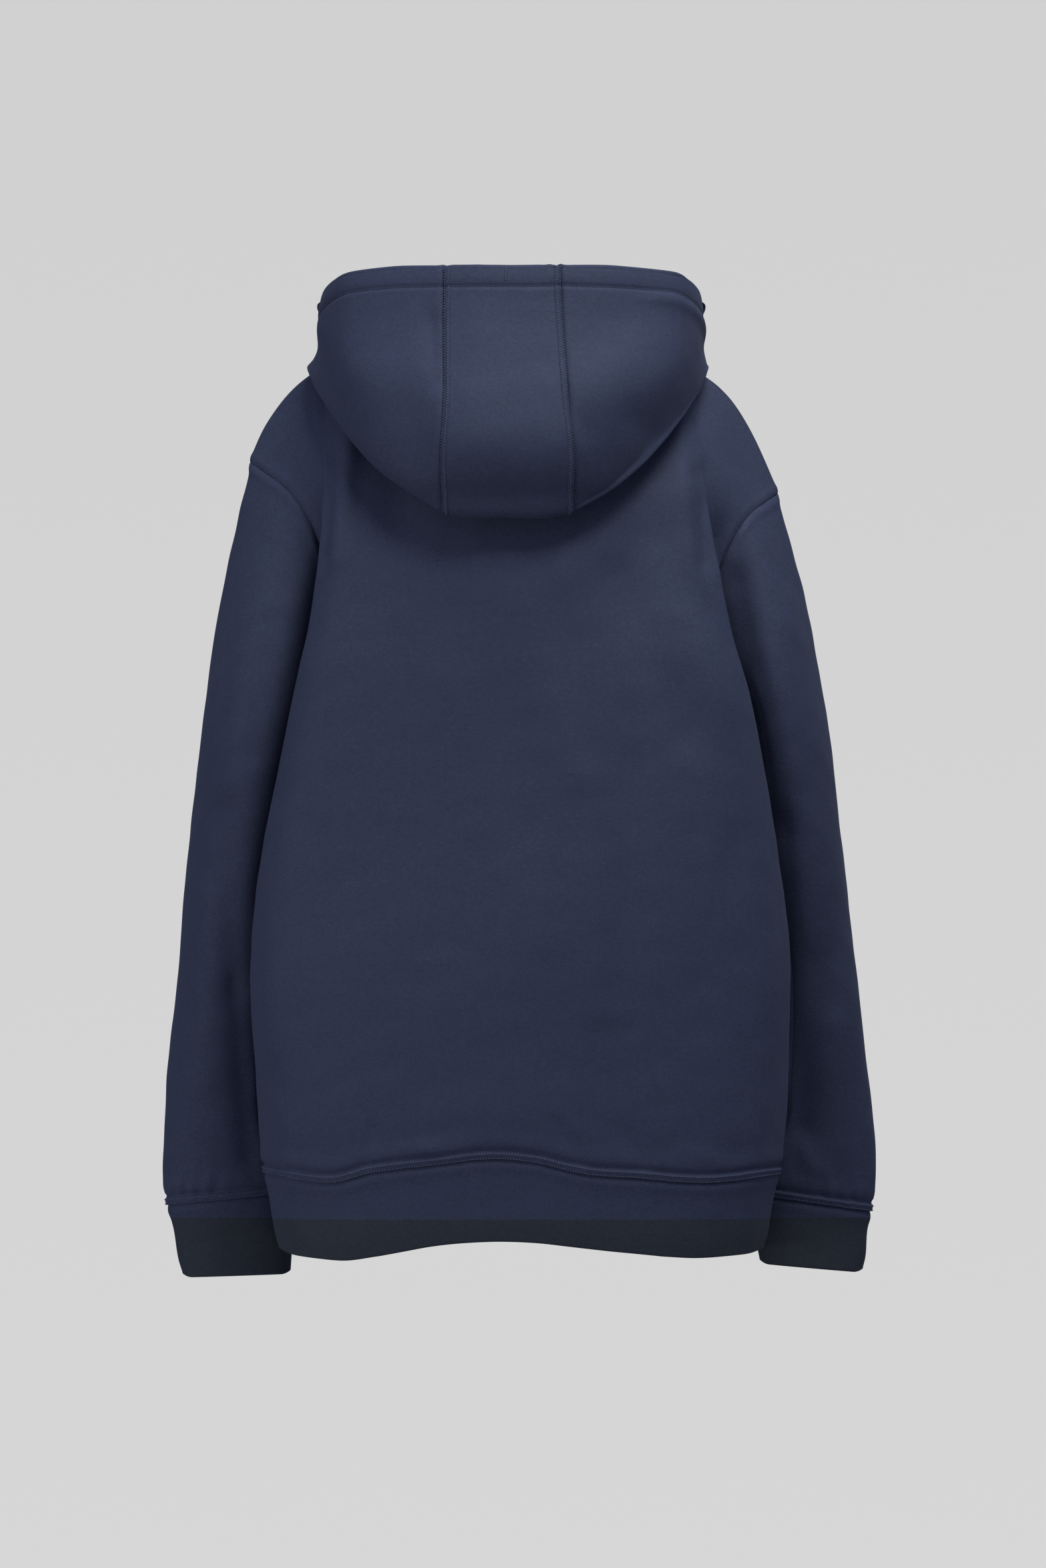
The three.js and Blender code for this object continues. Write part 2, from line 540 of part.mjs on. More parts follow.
// The closed wall of a piece of cloth, with its thickness inside the outer points.
function wallMesh(cloth, material) {
  const { points, normals, closed, wall, flip } = cloth;
  const rows = points.length;
  const columns = points[0].length;
  const position = [];
  for (const layer of [0, 1]) {
    for (let j = 0; j < rows; j += 1) {
      for (let i = 0; i < columns; i += 1) {
        const p = points[j][i].clone().addScaledVector(normals[j][i], -layer * wall(j, i));
        position.push(p.x, p.y, p.z);
      }
    }
  }
  const index = [];
  const vertex = (layer, j, i) => layer * rows * columns + j * columns + (i % columns);
  const quad = (a, b, c, d) => (flip > 0 ? index.push(a, b, c, a, c, d) : index.push(a, c, b, a, d, c));
  const lean = ([j, i]) => points[j][i % columns].dot(SPLIT);
  // A facet of the sewn edge, split so that the piece across the seam splits its own the same way.
  const edge = (from, to, turned) => {
    const [a, b, c, d] = [vertex(0, ...from), vertex(1, ...from), vertex(1, ...to), vertex(0, ...to)];
    const corners = turned ? [a, d, c, b] : [a, b, c, d];
    if (lean(from) > lean(to)) quad(...corners);
    else quad(corners[1], corners[2], corners[3], corners[0]);
  };
  const across = closed ? columns : columns - 1;
  for (let j = 0; j + 1 < rows; j += 1) {
    for (let i = 0; i < across; i += 1) {
      quad(vertex(0, j, i), vertex(0, j, i + 1), vertex(0, j + 1, i + 1), vertex(0, j + 1, i));
      quad(vertex(1, j, i), vertex(1, j + 1, i), vertex(1, j + 1, i + 1), vertex(1, j, i + 1));
    }
  }
  for (let i = 0; i < across; i += 1) {
    edge([0, i], [0, i + 1], false);
    edge([rows - 1, i], [rows - 1, i + 1], true);
  }
  if (!closed) {
    for (let j = 0; j + 1 < rows; j += 1) {
      edge([j, 0], [j + 1, 0], true);
      edge([j, columns - 1], [j + 1, columns - 1], false);
    }
  }
  const geometry = new THREE.BufferGeometry();
  geometry.setAttribute('position', new THREE.Float32BufferAttribute(position, 3));
  geometry.setIndex(index);
  geometry.computeVertexNormals();
  const mesh = new THREE.Mesh(geometry, material);
  mesh.name = cloth.name;
  return mesh;
}

// The armhole as one loop of body points: the armpit, up the back, the shoulder point, down the front.
function armholeLoop(back, front, side) {
  const column = side === LEFT ? 0 : 2 * HALF_COLUMNS;
  const upBack = [];
  const downFront = [];
  for (let row = LOWER_ROWS; row <= BODY_ROWS; row += 1) upBack.push(back[row][column].clone());
  for (let row = BODY_ROWS - 1; row > LOWER_ROWS; row -= 1) downFront.push(front[row][column].clone());
  return [...upBack, ...downFront];
}

// A ring of a sleeve or cuff between its outer and its inner line. The armpit comes first, then the back.
function ring(side, table, place, key, count) {
  const k = sideKey(side);
  const at = (name) => track(table, place, key, name in table[0] ? name : name + k);
  const out = new THREE.Vector3(side * at('outX'), at('midY'), at('outZ'));
  const inner = new THREE.Vector3(side * at('inX'), at('midY'), at('inZ'));
  const centre = out.clone().lerp(inner, 0.5);
  const half = inner.clone().sub(centre);
  const points = [];
  for (let i = 0; i < count; i += 1) {
    const angle = (i / count) * Math.PI * 2;
    const p = centre.clone().addScaledVector(half, Math.cos(angle));
    p.y -= at('halfY') * Math.sin(angle);
    points.push(p);
  }
  return points;
}

function sleeve(side, loop, body) {
  const count = loop.length;
  const first = ring(side, SLEEVE, 0, 'reach', count);
  const rows = [];
  for (let row = 0; row <= SLEEVE_ROWS; row += 1) {
    const reach = row / SLEEVE_ROWS;
    const fade = Math.max(1 - reach / ARMHOLE_FADE, 0) ** FADE_CURVE;
    const gaps = Math.min(SLEEVE_REST.first + SLEEVE_REST.step * row, SLEEVE_REST.last);
    const points = ring(side, SLEEVE, reach, 'reach', count);
    points.forEach((p, i) => {
      p.addScaledVector(loop[i].clone().sub(first[i]), fade);
      if (row > 0) restOn(body, p, REST_GAP * gaps);
    });
    rows.push(points);
  }
  rows[0] = loop.map((p) => p.clone());
  clearFacets(rows, body, REST_GAP, 1, true);
  return rows;
}

function cuff(side, wrist, body) {
  const count = wrist.length;
  const rows = [wrist.map((p) => p.clone())];
  for (let row = 1; row <= CUFF_ROWS; row += 1) {
    const points = ring(side, CUFF, row / CUFF_ROWS, 'depth', count);
    points.forEach((p) => restOn(body, p, REST_GAP * CUFF_REST));
    rows.push(points);
  }
  return rows;
}

// One hood line as a point for each column, from the centre front round by the wearer's left and the back.
function hoodLine(line) {
  const { middle, seams, x, y, z } = line;
  const half = HOOD_STATIONS.map((_, s) => new THREE.Vector3(x[s], y[s], z[s]));
  const loop = [
    ...half.slice(1).reverse().map((p) => new THREE.Vector3(-p.x, p.y, p.z)),
    ...half,
  ];
  const curve = new THREE.CatmullRomCurve3(loop, false, 'centripetal');
  const spans = loop.length - 1;
  const points = [];
  for (let column = -2 * NECK_COLUMNS; column <= 2 * NECK_COLUMNS; column += 1) {
    const step = Math.abs(column);
    let s = 0;
    while (s < HOOD_STATIONS.length - 2 && HOOD_STATIONS[s + 1] < step) s += 1;
    const stations = [0, column < 0 ? seams[0] : seams[1], 2, 3, 4, 5];
    const share = (step - HOOD_STATIONS[s]) / (HOOD_STATIONS[s + 1] - HOOD_STATIONS[s]);
    const station = mix(stations[s], stations[s + 1], share);
    const place = (spans / 2 + Math.sign(column) * station) / spans;
    const p = curve.getPoint(place);
    const atFront = Math.max(step - HOOD_STATIONS[3], 0) / (2 * NECK_COLUMNS - HOOD_STATIONS[3]);
    p.x += middle * (1 - smooth(atFront));
    points.push(p);
  }
  return points;
}

// The whole hood as rows of points from the neckline to the open edge.
function hood(back, front, body) {
  const middle = HALF_COLUMNS;
  const top = BODY_ROWS;
  const neckline = [];
  for (let column = -2 * NECK_COLUMNS; column <= 2 * NECK_COLUMNS; column += 1) {
    const step = Math.abs(column);
    const sign = Math.sign(column);
    neckline.push(step <= NECK_COLUMNS
      ? back[top][middle + sign * step].clone()
      : front[top][middle + sign * (2 * NECK_COLUMNS - step)].clone());
  }
  const lines = [neckline, ...Object.values(HOOD_LINES).map(hoodLine)];
  const rows = Array.from({ length: HOOD_STEPS.reduce((a, b) => a + b, 0) + 1 }, () => []);
  for (let column = 0; column <= 4 * NECK_COLUMNS; column += 1) {
    const curve = new THREE.CatmullRomCurve3(lines.map((line) => line[column]), false, 'centripetal');
    let row = 0;
    HOOD_STEPS.forEach((steps, span) => {
      for (let step = 0; step < steps; step += 1) {
        rows[row].push(curve.getPoint((span + step / steps) / HOOD_STEPS.length));
        row += 1;
      }
    });
    rows[row].push(curve.getPoint(1));
  }
  rows.forEach((row, j) => row.forEach((p) => {
    if (j > 0) restOn(body, p, REST_GAP * Math.min(HOOD_REST.first + HOOD_REST.step * j, 1));
  }));
  clearFacets(rows, body, REST_GAP, 2, false);
  return rows;
}

const NAVY = new THREE.Color(0.05, 0.062, 0.11);
const DARK_NAVY = new THREE.Color(0.04, 0.05, 0.08);
const MATERIALS = {
  fleece: new THREE.MeshStandardMaterial({ color: NAVY, roughness: 0.9, metalness: 0 }),
  rib: new THREE.MeshStandardMaterial({ color: DARK_NAVY, roughness: 0.92, metalness: 0 }),
};

function buildHoodie() {
  const backRows = bodyPanel(PANELS.back);
  const frontRows = bodyPanel(PANELS.front);
  const back = piece('back', 'body', 'fleece', backRows);
  const front = piece('front', 'body', 'fleece', frontRows, { flip: -1 });
  const body = [back, front];
  const cloths = [back, front];
  const ribWall = () => RIB;
  const bandRows = hemBand(backRows, frontRows);
  cloths.push(piece('hem_band', 'hem', 'rib', bandRows, { closed: true, wall: ribWall }));
  for (const [side, name] of [[LEFT, 'left'], [RIGHT, 'right']]) {
    const rows = sleeve(side, armholeLoop(backRows, frontRows, side), body);
    const turn = side === LEFT ? 1 : -1;
    cloths.push(piece(`sleeve_${name}`, name, 'fleece', rows, { closed: true, flip: turn }));
    const cuffRows = cuff(side, rows[SLEEVE_ROWS], body);
    cloths.push(piece(`cuff_${name}`, name, 'rib', cuffRows, { closed: true, flip: turn, wall: ribWall }));
  }
  const hoodRows = hood(backRows, frontRows, body);
  const lastRow = hoodRows.length - 1;
  const wall = (j) => (j > lastRow - CASING_ROWS ? CASING : CLOTH);
  const cut = (from, to) => hoodRows.map((row) => row.slice(from, to + 1).map((p) => p.clone()));
  const leftSeam = 2 * NECK_COLUMNS - STRIP_COLUMNS;
  const rightSeam = 2 * NECK_COLUMNS + STRIP_COLUMNS;
  cloths.push(piece('hood_left', 'hood', 'fleece', cut(0, leftSeam), { wall }));
  cloths.push(piece('hood_centre', 'hood', 'fleece', cut(leftSeam, rightSeam), { wall }));
  cloths.push(piece('hood_right', 'hood', 'fleece', cut(rightSeam, 4 * NECK_COLUMNS), { wall }));
  sew(cloths);
  const group = new THREE.Group();
  for (const cloth of cloths) group.add(wallMesh(cloth, MATERIALS[cloth.slot]));
  return group;
}

export default buildHoodie();
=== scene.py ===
"""Pullover hoodie, filled out as worn, hood down: its cloth, seams, stitches and finish.

Shapes are in millimetres in the frame's own axes (+X the wearer's right, +Y the front, +Z up)
until a mesh is made. The tables of the cut are those that the solids are built from, and L and R
in their columns are the picture's left and right.
"""

import bpy
import numpy as np
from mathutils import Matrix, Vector
from mathutils.bvhtree import BVHTree


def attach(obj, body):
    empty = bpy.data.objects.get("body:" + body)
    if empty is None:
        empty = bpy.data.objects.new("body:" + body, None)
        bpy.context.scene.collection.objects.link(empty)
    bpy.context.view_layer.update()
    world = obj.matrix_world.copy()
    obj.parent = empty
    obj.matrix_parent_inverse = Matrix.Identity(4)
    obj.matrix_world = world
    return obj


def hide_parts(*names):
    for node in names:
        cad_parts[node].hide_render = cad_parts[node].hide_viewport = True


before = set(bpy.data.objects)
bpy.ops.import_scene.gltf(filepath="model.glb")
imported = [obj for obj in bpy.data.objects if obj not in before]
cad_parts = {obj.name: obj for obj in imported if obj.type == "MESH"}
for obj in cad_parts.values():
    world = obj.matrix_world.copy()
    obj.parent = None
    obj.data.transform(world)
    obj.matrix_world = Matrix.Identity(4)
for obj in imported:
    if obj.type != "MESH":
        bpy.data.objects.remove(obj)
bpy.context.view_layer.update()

METRE = 0.001
LEFT, RIGHT = -1, 1

# Camera: the photograph's frame, seen straight at the back
PHOTO_WIDTH, PHOTO_HEIGHT = 1568, 2351
MM_PER_PIXEL = 0.53
ORIGIN_PIXEL = (778, 560)
CAMERA_DISTANCE = 40000.0
BACK_PLANE_Y = -60.0
SENSOR = 36.0

# Cloth: thickness, how deep the casing is, and how far cloth stands off the cloth that it rests on
CLOTH, RIB, CASING = 2.5, 2.8, 4.4
CASING_DEPTH = 15.5
REST_GAP, REST_REACH = 2.0, 45
FOLD_ANGLES = np.radians((30, 60, 90, 120, 150))
SEAM_PLACES = (0.25, 0.5, 0.75, 1.33, 1.66, 2.5)  # rows this near a seam, in plain rows

# Columns and rows of the cut, as in the solids, and how many times finer each is here
NECK_COLUMNS, SHOULDER_COLUMNS, ARMHOLE_COLUMNS = 7, 4, 5
LOWER_ROWS, UPPER_ROWS = 8, 10
SLEEVE_ROWS, CUFF_ROWS, BAND_ROWS = 18, 3, 4
STRIP_COLUMNS = 3
HOOD_STEPS = (2, 2, 3, 2, 3, 3, 2)
FINER_ROWS, FINER_COLUMNS = 9, 7
FINER_SLEEVE, FINER_CUFF, FINER_BAND, FINER_HOOD, FINER_CASING = 10, 9, 7, 8, 18
HALF_COLUMNS = NECK_COLUMNS + SHOULDER_COLUMNS + ARMHOLE_COLUMNS
BODY_ROWS = LOWER_ROWS + UPPER_ROWS
# Places in a fine panel: the armpit's row, and the columns where the neckline begins and ends
ARMPIT = LOWER_ROWS * FINER_ROWS
NECK_FIRST = (HALF_COLUMNS - NECK_COLUMNS) * FINER_COLUMNS
NECK_LAST = (HALF_COLUMNS + NECK_COLUMNS) * FINER_COLUMNS


def table(text):
    """A table by the names that head its columns."""
    names, *rows = [line.split() for line in text.strip().split("\n")]
    return {name: np.array(column, float) for name, column in zip(names, zip(*rows))}


# Body, by level: 0 at the hem seam, 1 at the armpit, 2 at the shoulder
BACK = table("""
level midY midZ edgeXL edgeXR edgeY edgeZL edgeZR
 0.00 -114 -640    202    206   -32   -640   -640
 0.10 -119 -608    206    211   -35   -608   -608
 0.25 -120 -560    209    214   -38   -560   -560
 0.50 -119 -465    212    215   -44   -465   -465
 0.75 -120 -368    202    203   -56   -368   -368
 1.00 -123 -262    181    185   -70   -265   -265
 1.25 -123 -192    166    168   -80   -196   -200
 1.50 -119 -122    156    154   -80   -130   -140
 1.75 -107  -55    151    141   -62    -60    -72
 2.00  -80   12    146    133     3     12      8
""")
FRONT = table("""
level midY midZ edgeXL edgeXR edgeY edgeZL edgeZR
 0.00  112 -640    198    202    38   -640   -640
 0.10  118 -608    202    206    44   -608   -608
 0.25  121 -560    204    208    50   -560   -560
 0.50  124 -465    205    208    60   -465   -465
 0.75  129 -368    194    196    74   -368   -368
 1.00  133 -262    177    179    88   -265   -265
 1.25  132 -210    166    166    95   -196   -200
 1.50  126 -158    158    155    88   -130   -140
 1.75  112 -106    151    144    62    -60    -72
 2.00   92  -58    146    133     3     12      8
""")
SIDE_SEAM = table("""
level  xL  xR backY frontY   zL   zR
 0.00 200 204     3      3 -640 -640
 0.25 205 209     6      6 -560 -560
 0.50 203 206    10     10 -465 -465
 0.75 183 185    14     14 -368 -368
 1.00 158 161    16     16 -262 -266
""")
ARMHOLE = table("""
level  xL  xR backY frontY   zL   zR
 1.00 158 161    16     16 -262 -266
 1.25 151 152   -14     52 -205 -212
 1.50 157 159   -38     66 -143 -158
 1.75 180 180   -36     52  -97 -116
 2.00 215 207     3      3  -70  -95
""")
EDGE_X = 146
NECKLINE_X = (0, 14, 28, 42, 55, 68, 80, 88)
COLUMN_SHARE = [x / EDGE_X for x in NECKLINE_X] + [0.72, 0.83, 0.93, 1]
NECK_POINT_X, NECK_POINT_Y, NECK_POINT_Z = 88, 3, 33
NECK_DROP, NECK_RISE = 2.3, 0.75
CROWN_FLAT, CROWN_ROUND = 2.4, 0.42
PANELS = {
    "back": dict(name="back", rows=BACK, facing=-1, neck=(-80, 12)),
    "front": dict(name="front", rows=FRONT, facing=1, neck=(92, -58)),
}
EDGE_REACH = 0.45
SHOULDER = table("""
reach  xL  xR  zL  zR
 0.00  88  88  33  33
 0.45 146 133  12   8
 0.62 172 155  -5  -7
 0.75 188 170 -21 -22
 0.88 203 187 -43 -50
 1.00 215 207 -70 -95
""")
HEM_WAVE = table("""
   x seam edge
-210    6    6
-150   -3   -1
-116    5    3
 -68   11   11
 -23   16   14
  14   13   13
  52    4    9
  92    1    5
 150   -3    1
 210    4    6
""")
FRONT_WAVE = 17
HEM_WAVE_TOP = 0.7
NECK_PULL_FROM, PULL_SPREAD = 1.05, 2.5
BAND = table("""
depth inset    z
  0.0     0 -640
  0.3     4 -658
  0.8   9.5 -692
  1.0  12.5 -704
""")

# Sleeve, by reach: 0 at the armhole, 1 at the cuff
SLEEVE = table("""
reach outXL outXR outZL outZR inX  inZ midY halfY
 0.00   215   207   -70   -95 158 -262    8    56
 0.10   227   219  -127  -143 167 -276   10    68
 0.22   240   233  -196  -204 173 -298   16    76
 0.36   252   247  -282  -286 180 -338   26    76
 0.50   262   257  -365  -368 186 -392   38    70
 0.65   270   267  -454  -456 188 -462   52    59
 0.80   279   278  -543  -545 187 -541   66    46
 0.93   284   284  -622  -625 180 -615   77    33
 0.98   284   284  -651  -655 177 -643   80    28
 1.00   281   281  -662  -667 179 -652   80    25
""")
CUFF = table("""
depth outXL outXR outZL outZR inXL inXR inZL inZR midY halfY
 0.00   281   281  -662  -667  179  179 -652 -652   80    25
 0.15   277   278  -670  -674  181  182 -661 -660   80    23
 0.60   273   277  -698  -697  181  188 -692 -686   81    20
 1.00   268   274  -720  -716  182  192 -717 -709   82    19
""")
ARMHOLE_FADE, ARMHOLE_FADE_POWER = 0.34, 1.6

# Hood lines, each a loop round the neck, with its stations from the centre back to the centre front
HOOD_STATIONS = (0, 3, 5, 8, 11, 14)
STRIP_SLIDE = ((1, 1), (1, 1), (1.06, 1.07), (1.06, 1.07), (1.10, 1.02), (1.12, 0.953), (1.125, 0.884))
# Each line: shift of its middle, then x, y and z of its stations
HOOD_LINES = (
    (-1, ((0, 36, 66, 90, 62, 0), (-84, -82, -62, 14, 68, 94), (46, 46, 46, 38, 2, -51))),
    (-4, ((0, 38, 76, 112, 80, 0), (-98, -96, -80, 6, 72, 97), (50, 50, 50, 38, 6, -46))),
    (-8, ((0, 42, 92, 150, 110, 0), (-128, -126, -106, -14, 68, 98), (-96, -94, -46, 14, -4, -42))),
    (-9, ((0, 48, 109, 159, 122, 0), (-148, -145, -118, -16, 66, 99), (-115, -112, -71, 3, -6, -39))),
    (-7, ((0, 45, 122, 154, 126, 0), (-172, -168, -124, -18, 64, 99), (-38, -36, -10, 18, 6, -36))),
    (-7, ((0, 43, 127, 154, 119, 0), (-147, -144, -104, -14, 61, 97), (40, 40, 38, 36, 14, -34))),
    (-6, ((0, 43, 128, 151, 112, 0), (-138, -135, -90, -12, 58, 95), (86, 86, 81, 57, 22, -32))),
)


def hermite(share, a, start, b, end):
    """A point between a and b on the curve that leaves a and reaches b with the given slopes."""
    s2, s3 = share**2, share**3
    leaving = (2 * s3 - 3 * s2 + 1) * a + (s3 - 2 * s2 + share) * start
    return leaving + (3 * s2 - 2 * s3) * b + (s3 - s2) * end


def track(rows, key, place, column):
    """Value of a table's column at a place between its rows, on a smooth curve."""
    keys, values = rows[key], rows[column]
    last = len(keys) - 1
    i = 0
    while i < last - 1 and keys[i + 1] < place:
        i += 1
    before, after = max(i - 1, 0), min(i + 2, last)
    span = keys[i + 1] - keys[i]
    share = min(max((place - keys[i]) / span, 0), 1)
    start = (values[i + 1] - values[before]) / max(keys[i + 1] - keys[before], 1e-9) * span
    end = (values[after] - values[i]) / max(keys[after] - keys[i], 1e-9) * span
    return hermite(share, values[i], start, values[i + 1], end)


def reader(rows, key, place, side):
    """Reads a table's columns at a place, and a side's own column where the table has two."""
    end = "L" if side == LEFT else "R"
    return lambda name: track(rows, key, place, name if name in rows else name + end)


def mix(a, b, share):
    return a + (b - a) * share


def smooth(share):
    return share * share * (3 - 2 * share)


def unit(vectors):
    """Vectors of length 1, along the last axis."""
    return vectors / np.maximum(np.linalg.norm(vectors, axis=-1, keepdims=True), 1e-12)


def top_point(side, column, neck_y, neck_z):
    """A point of the neckline or the shoulder seam."""
    if column <= NECK_COLUMNS:
        share = NECKLINE_X[column] / NECK_POINT_X
        drop = np.sqrt(max(1 - share**NECK_DROP, 0))
        rise = 1 - (1 - share**2) ** NECK_RISE
        y = mix(NECK_POINT_Y, neck_y, drop)
        return np.array([side * NECKLINE_X[column], y, mix(neck_z, NECK_POINT_Z, rise)])
    past = column - NECK_COLUMNS
    reach = EDGE_REACH * past / SHOULDER_COLUMNS
    if past > SHOULDER_COLUMNS:
        reach = mix(EDGE_REACH, 1, (past - SHOULDER_COLUMNS) / ARMHOLE_COLUMNS)
    at = reader(SHOULDER, "reach", reach, side)
    return np.array([side * at("x"), NECK_POINT_Y, at("z")])


def barrel_point(panel, side, column, level):
    """A point on the plain barrel of one half panel, before the neckline pulls on it."""
    at = reader(panel["rows"], "level", level, side)
    edge = np.array([side * at("edgeX"), at("edgeY"), at("edgeZ")])
    to_edge = NECK_COLUMNS + SHOULDER_COLUMNS
    if column <= to_edge:
        share = COLUMN_SHARE[column]
        crown = (1 - share**CROWN_FLAT) ** CROWN_ROUND
        y = mix(edge[1], at("midY"), crown)
        return np.array([edge[0] * share, y, mix(at("midZ"), edge[2], smooth(share))])
    on_seam = reader(SIDE_SEAM if level <= 1 else ARMHOLE, "level", level, side)
    seam = np.array([side * on_seam("x"), on_seam(panel["name"] + "Y"), on_seam("z")])
    forward = abs(seam[1] - edge[1]) * 0.5 * panel["facing"]
    outward = max(abs(seam[0]) - abs(edge[0]), 0) * 0.6 * side
    near_edge = np.array([edge[0], edge[1] - forward, mix(edge[2], seam[2], 0.2)])
    hold = 0.05 if outward else 0.45
    near_seam = np.array([seam[0] - outward, mix(seam[1], edge[1], hold), mix(edge[2], seam[2], 0.8)])
    t = (column - to_edge) / ARMHOLE_COLUMNS
    s = 1 - t
    return s**3 * edge + 3 * s * s * t * near_edge + 3 * s * t * t * near_seam + t**3 * seam


def hem_lift(name, x, share, which):
    """How far the hem rises. share runs from the centre line to the side seam."""
    back = track(HEM_WAVE, "x", min(max(x, HEM_WAVE["x"][0]), HEM_WAVE["x"][-1]), which)
    return back if name == "back" else mix(FRONT_WAVE, back, smooth(share))


def spread(pull, times):
    """The pull of the neckline shared out among its neighbours, the outer end held."""
    now = pull.copy()
    for _ in range(times):
        mirrored = now[1] * (-1, 1, 1)
        before = np.vstack([mirrored, now[:-1]])
        after = np.vstack([now[1:], now[-1:]])
        softer = (2 * now + before + after) / 4
        softer[-1] = now[-1]
        now = softer
    return now


def body_panel(panel):
    """One body panel as rows of points, from its left seam to its right seam."""
    pulls = {}
    for side in (LEFT, RIGHT):
        top = [top_point(side, c, *panel["neck"]) for c in range(HALF_COLUMNS + 1)]
        barrel = [barrel_point(panel, side, c, 2) for c in range(HALF_COLUMNS + 1)]
        pulls[side] = np.array(top) - barrel
    grid = np.zeros((BODY_ROWS + 1, 2 * HALF_COLUMNS + 1, 3))
    for row in range(BODY_ROWS + 1):
        level = row / LOWER_ROWS if row <= LOWER_ROWS else 1 + (row - LOWER_ROWS) / UPPER_ROWS
        share = max(level - NECK_PULL_FROM, 0) / (2 - NECK_PULL_FROM)
        times = int(PULL_SPREAD * (BODY_ROWS - row) + 0.5)
        pull = {side: spread(pulls[side], times) for side in pulls}
        wave = max(1 - level / HEM_WAVE_TOP, 0) ** 2
        for column in range(-HALF_COLUMNS, HALF_COLUMNS + 1):
            side = LEFT if column < 0 else RIGHT
            step = abs(column)
            point = barrel_point(panel, side, step, level) + pull[side][step] * share**2
            point[2] += hem_lift(panel["name"], point[0], step / HALF_COLUMNS, "seam") * wave
            grid[row, column + HALF_COLUMNS] = point
    return grid


def hem_band(back, front):
    """The hem band as rings from its lower edge up, each from the left side seam round by the back."""
    columns = list(range(2 * HALF_COLUMNS + 1))
    around = [("back", back[0][i], i) for i in columns]
    around += [("front", front[0][i], i) for i in reversed(columns[1:-1])]
    rings = []
    for row in range(BAND_ROWS + 1):
        depth = row / BAND_ROWS
        inset = track(BAND, "depth", depth, "inset")
        z = track(BAND, "depth", depth, "z")
        ring = []
        for name, p, i in around:
            share = abs(i - HALF_COLUMNS) / HALF_COLUMNS
            out = unit(np.array([p[0] / 205, p[1] / 115]))
            lift = mix(hem_lift(name, p[0], share, "seam"), hem_lift(name, p[0], share, "edge"), depth)
            height = p[2] if row == 0 else z + lift
            ring.append([p[0] - inset * out[0], p[1] - 0.75 * inset * out[1], height])
        rings.append(ring)
    return np.array(rings[::-1])


def ring_points(side, rows, key, place, count):
    """A ring of a sleeve or cuff between its outer and inner lines, from the armpit round by the back."""
    at = reader(rows, key, place, side)
    outer = np.array([side * at("outX"), at("midY"), at("outZ")])
    inner = np.array([side * at("inX"), at("midY"), at("inZ")])
    centre = (outer + inner) / 2
    angle = np.arange(count) / count * 2 * np.pi
    ring = centre + np.cos(angle)[:, None] * (inner - centre)
    ring[:, 1] -= at("halfY") * np.sin(angle)
    return ring


class Surface:
    """Cloth that other cloth rests on: its nearest point and normal, and a point's height over it."""

    def __init__(self, *grids):
        self.parts = []
        for grid, flip in grids:
            h, w = grid.shape[:2]
            index = np.arange(h * w).reshape(h, w)
            a, b, c, d = index[:-1, :-1], index[:-1, 1:], index[1:, 1:], index[1:, :-1]
            faces = np.stack([a, b, c, a, c, d], axis=-1).reshape(-1, 3).tolist()
            tree = BVHTree.FromPolygons(grid.reshape(-1, 3).tolist(), faces)
            self.parts.append((tree, grid_normals(grid, False, flip), (h, w)))

    def nearest(self, point):
        best = None
        for tree, normals, (h, w) in self.parts:
            at, _, face, distance = tree.find_nearest(Vector(point))
            if best is None or distance < best[0]:
                j, i = divmod(face // 2, w - 1)
                normal = unit(normals[j : j + 2, i : i + 2].sum(axis=(0, 1)))
                border = i in (0, w - 2) or j == h - 2
                best = (distance, np.array(at), normal, border)
        distance, at, normal, border = best
        height = float(np.dot(point - at, normal))
        sideways = np.sqrt(max(distance**2 - height**2, 0))
        off_edge = border and sideways > 0.4 * distance and distance > 0.5
        return distance, height, normal, off_edge

    def clear(self, point, gap):
        """The point, moved out until it clears the cloth."""
        for _ in range(3):
            distance, height, normal, off_edge = self.nearest(point)
            room = height if height < 0 else max(distance, height)
            if off_edge or abs(height) > REST_REACH or room >= gap:
                return point
            point = point + normal * (gap - height)
        return point


def grid_normals(grid, closed, flip):
    """Outward normals of a grid of points. Rows of a closed grid are rings."""
    if closed:
        across = np.roll(grid, -1, axis=1) - np.roll(grid, 1, axis=1)
    else:
        across = np.gradient(grid, axis=1)
    along = np.gradient(grid, axis=0)
    return unit(np.cross(across, along)) * flip


def armhole_loop(back, front, side, lower_row):
    """The armhole as one loop: the armpit, up the back, the shoulder point, down the front."""
    column = 0 if side == LEFT else -1
    up_back = back[lower_row:, column]
    down_front = front[lower_row + 1 : -1, column][::-1]
    return np.vstack([up_back, down_front])


def sleeve(side, loop, body):
    """A sleeve as rings from the armhole to the cuff, clear of the body."""
    count = len(loop)
    first = ring_points(side, SLEEVE, "reach", 0, count)
    rings = [loop]
    for row in range(1, SLEEVE_ROWS + 1):
        reach = row / SLEEVE_ROWS
        fade = max(1 - reach / ARMHOLE_FADE, 0) ** ARMHOLE_FADE_POWER
        ring = ring_points(side, SLEEVE, "reach", reach, count) + (loop - first) * fade
        gap = REST_GAP * min(0.7 + 0.3 * row, 2)
        rings.append(np.array([body.clear(p, gap) for p in ring]))
    return np.array(rings)


def cuff(side, wrist):
    rings = [wrist]
    for row in range(1, CUFF_ROWS + 1):
        rings.append(ring_points(side, CUFF, "depth", row / CUFF_ROWS, len(wrist)))
    return np.array(rings)


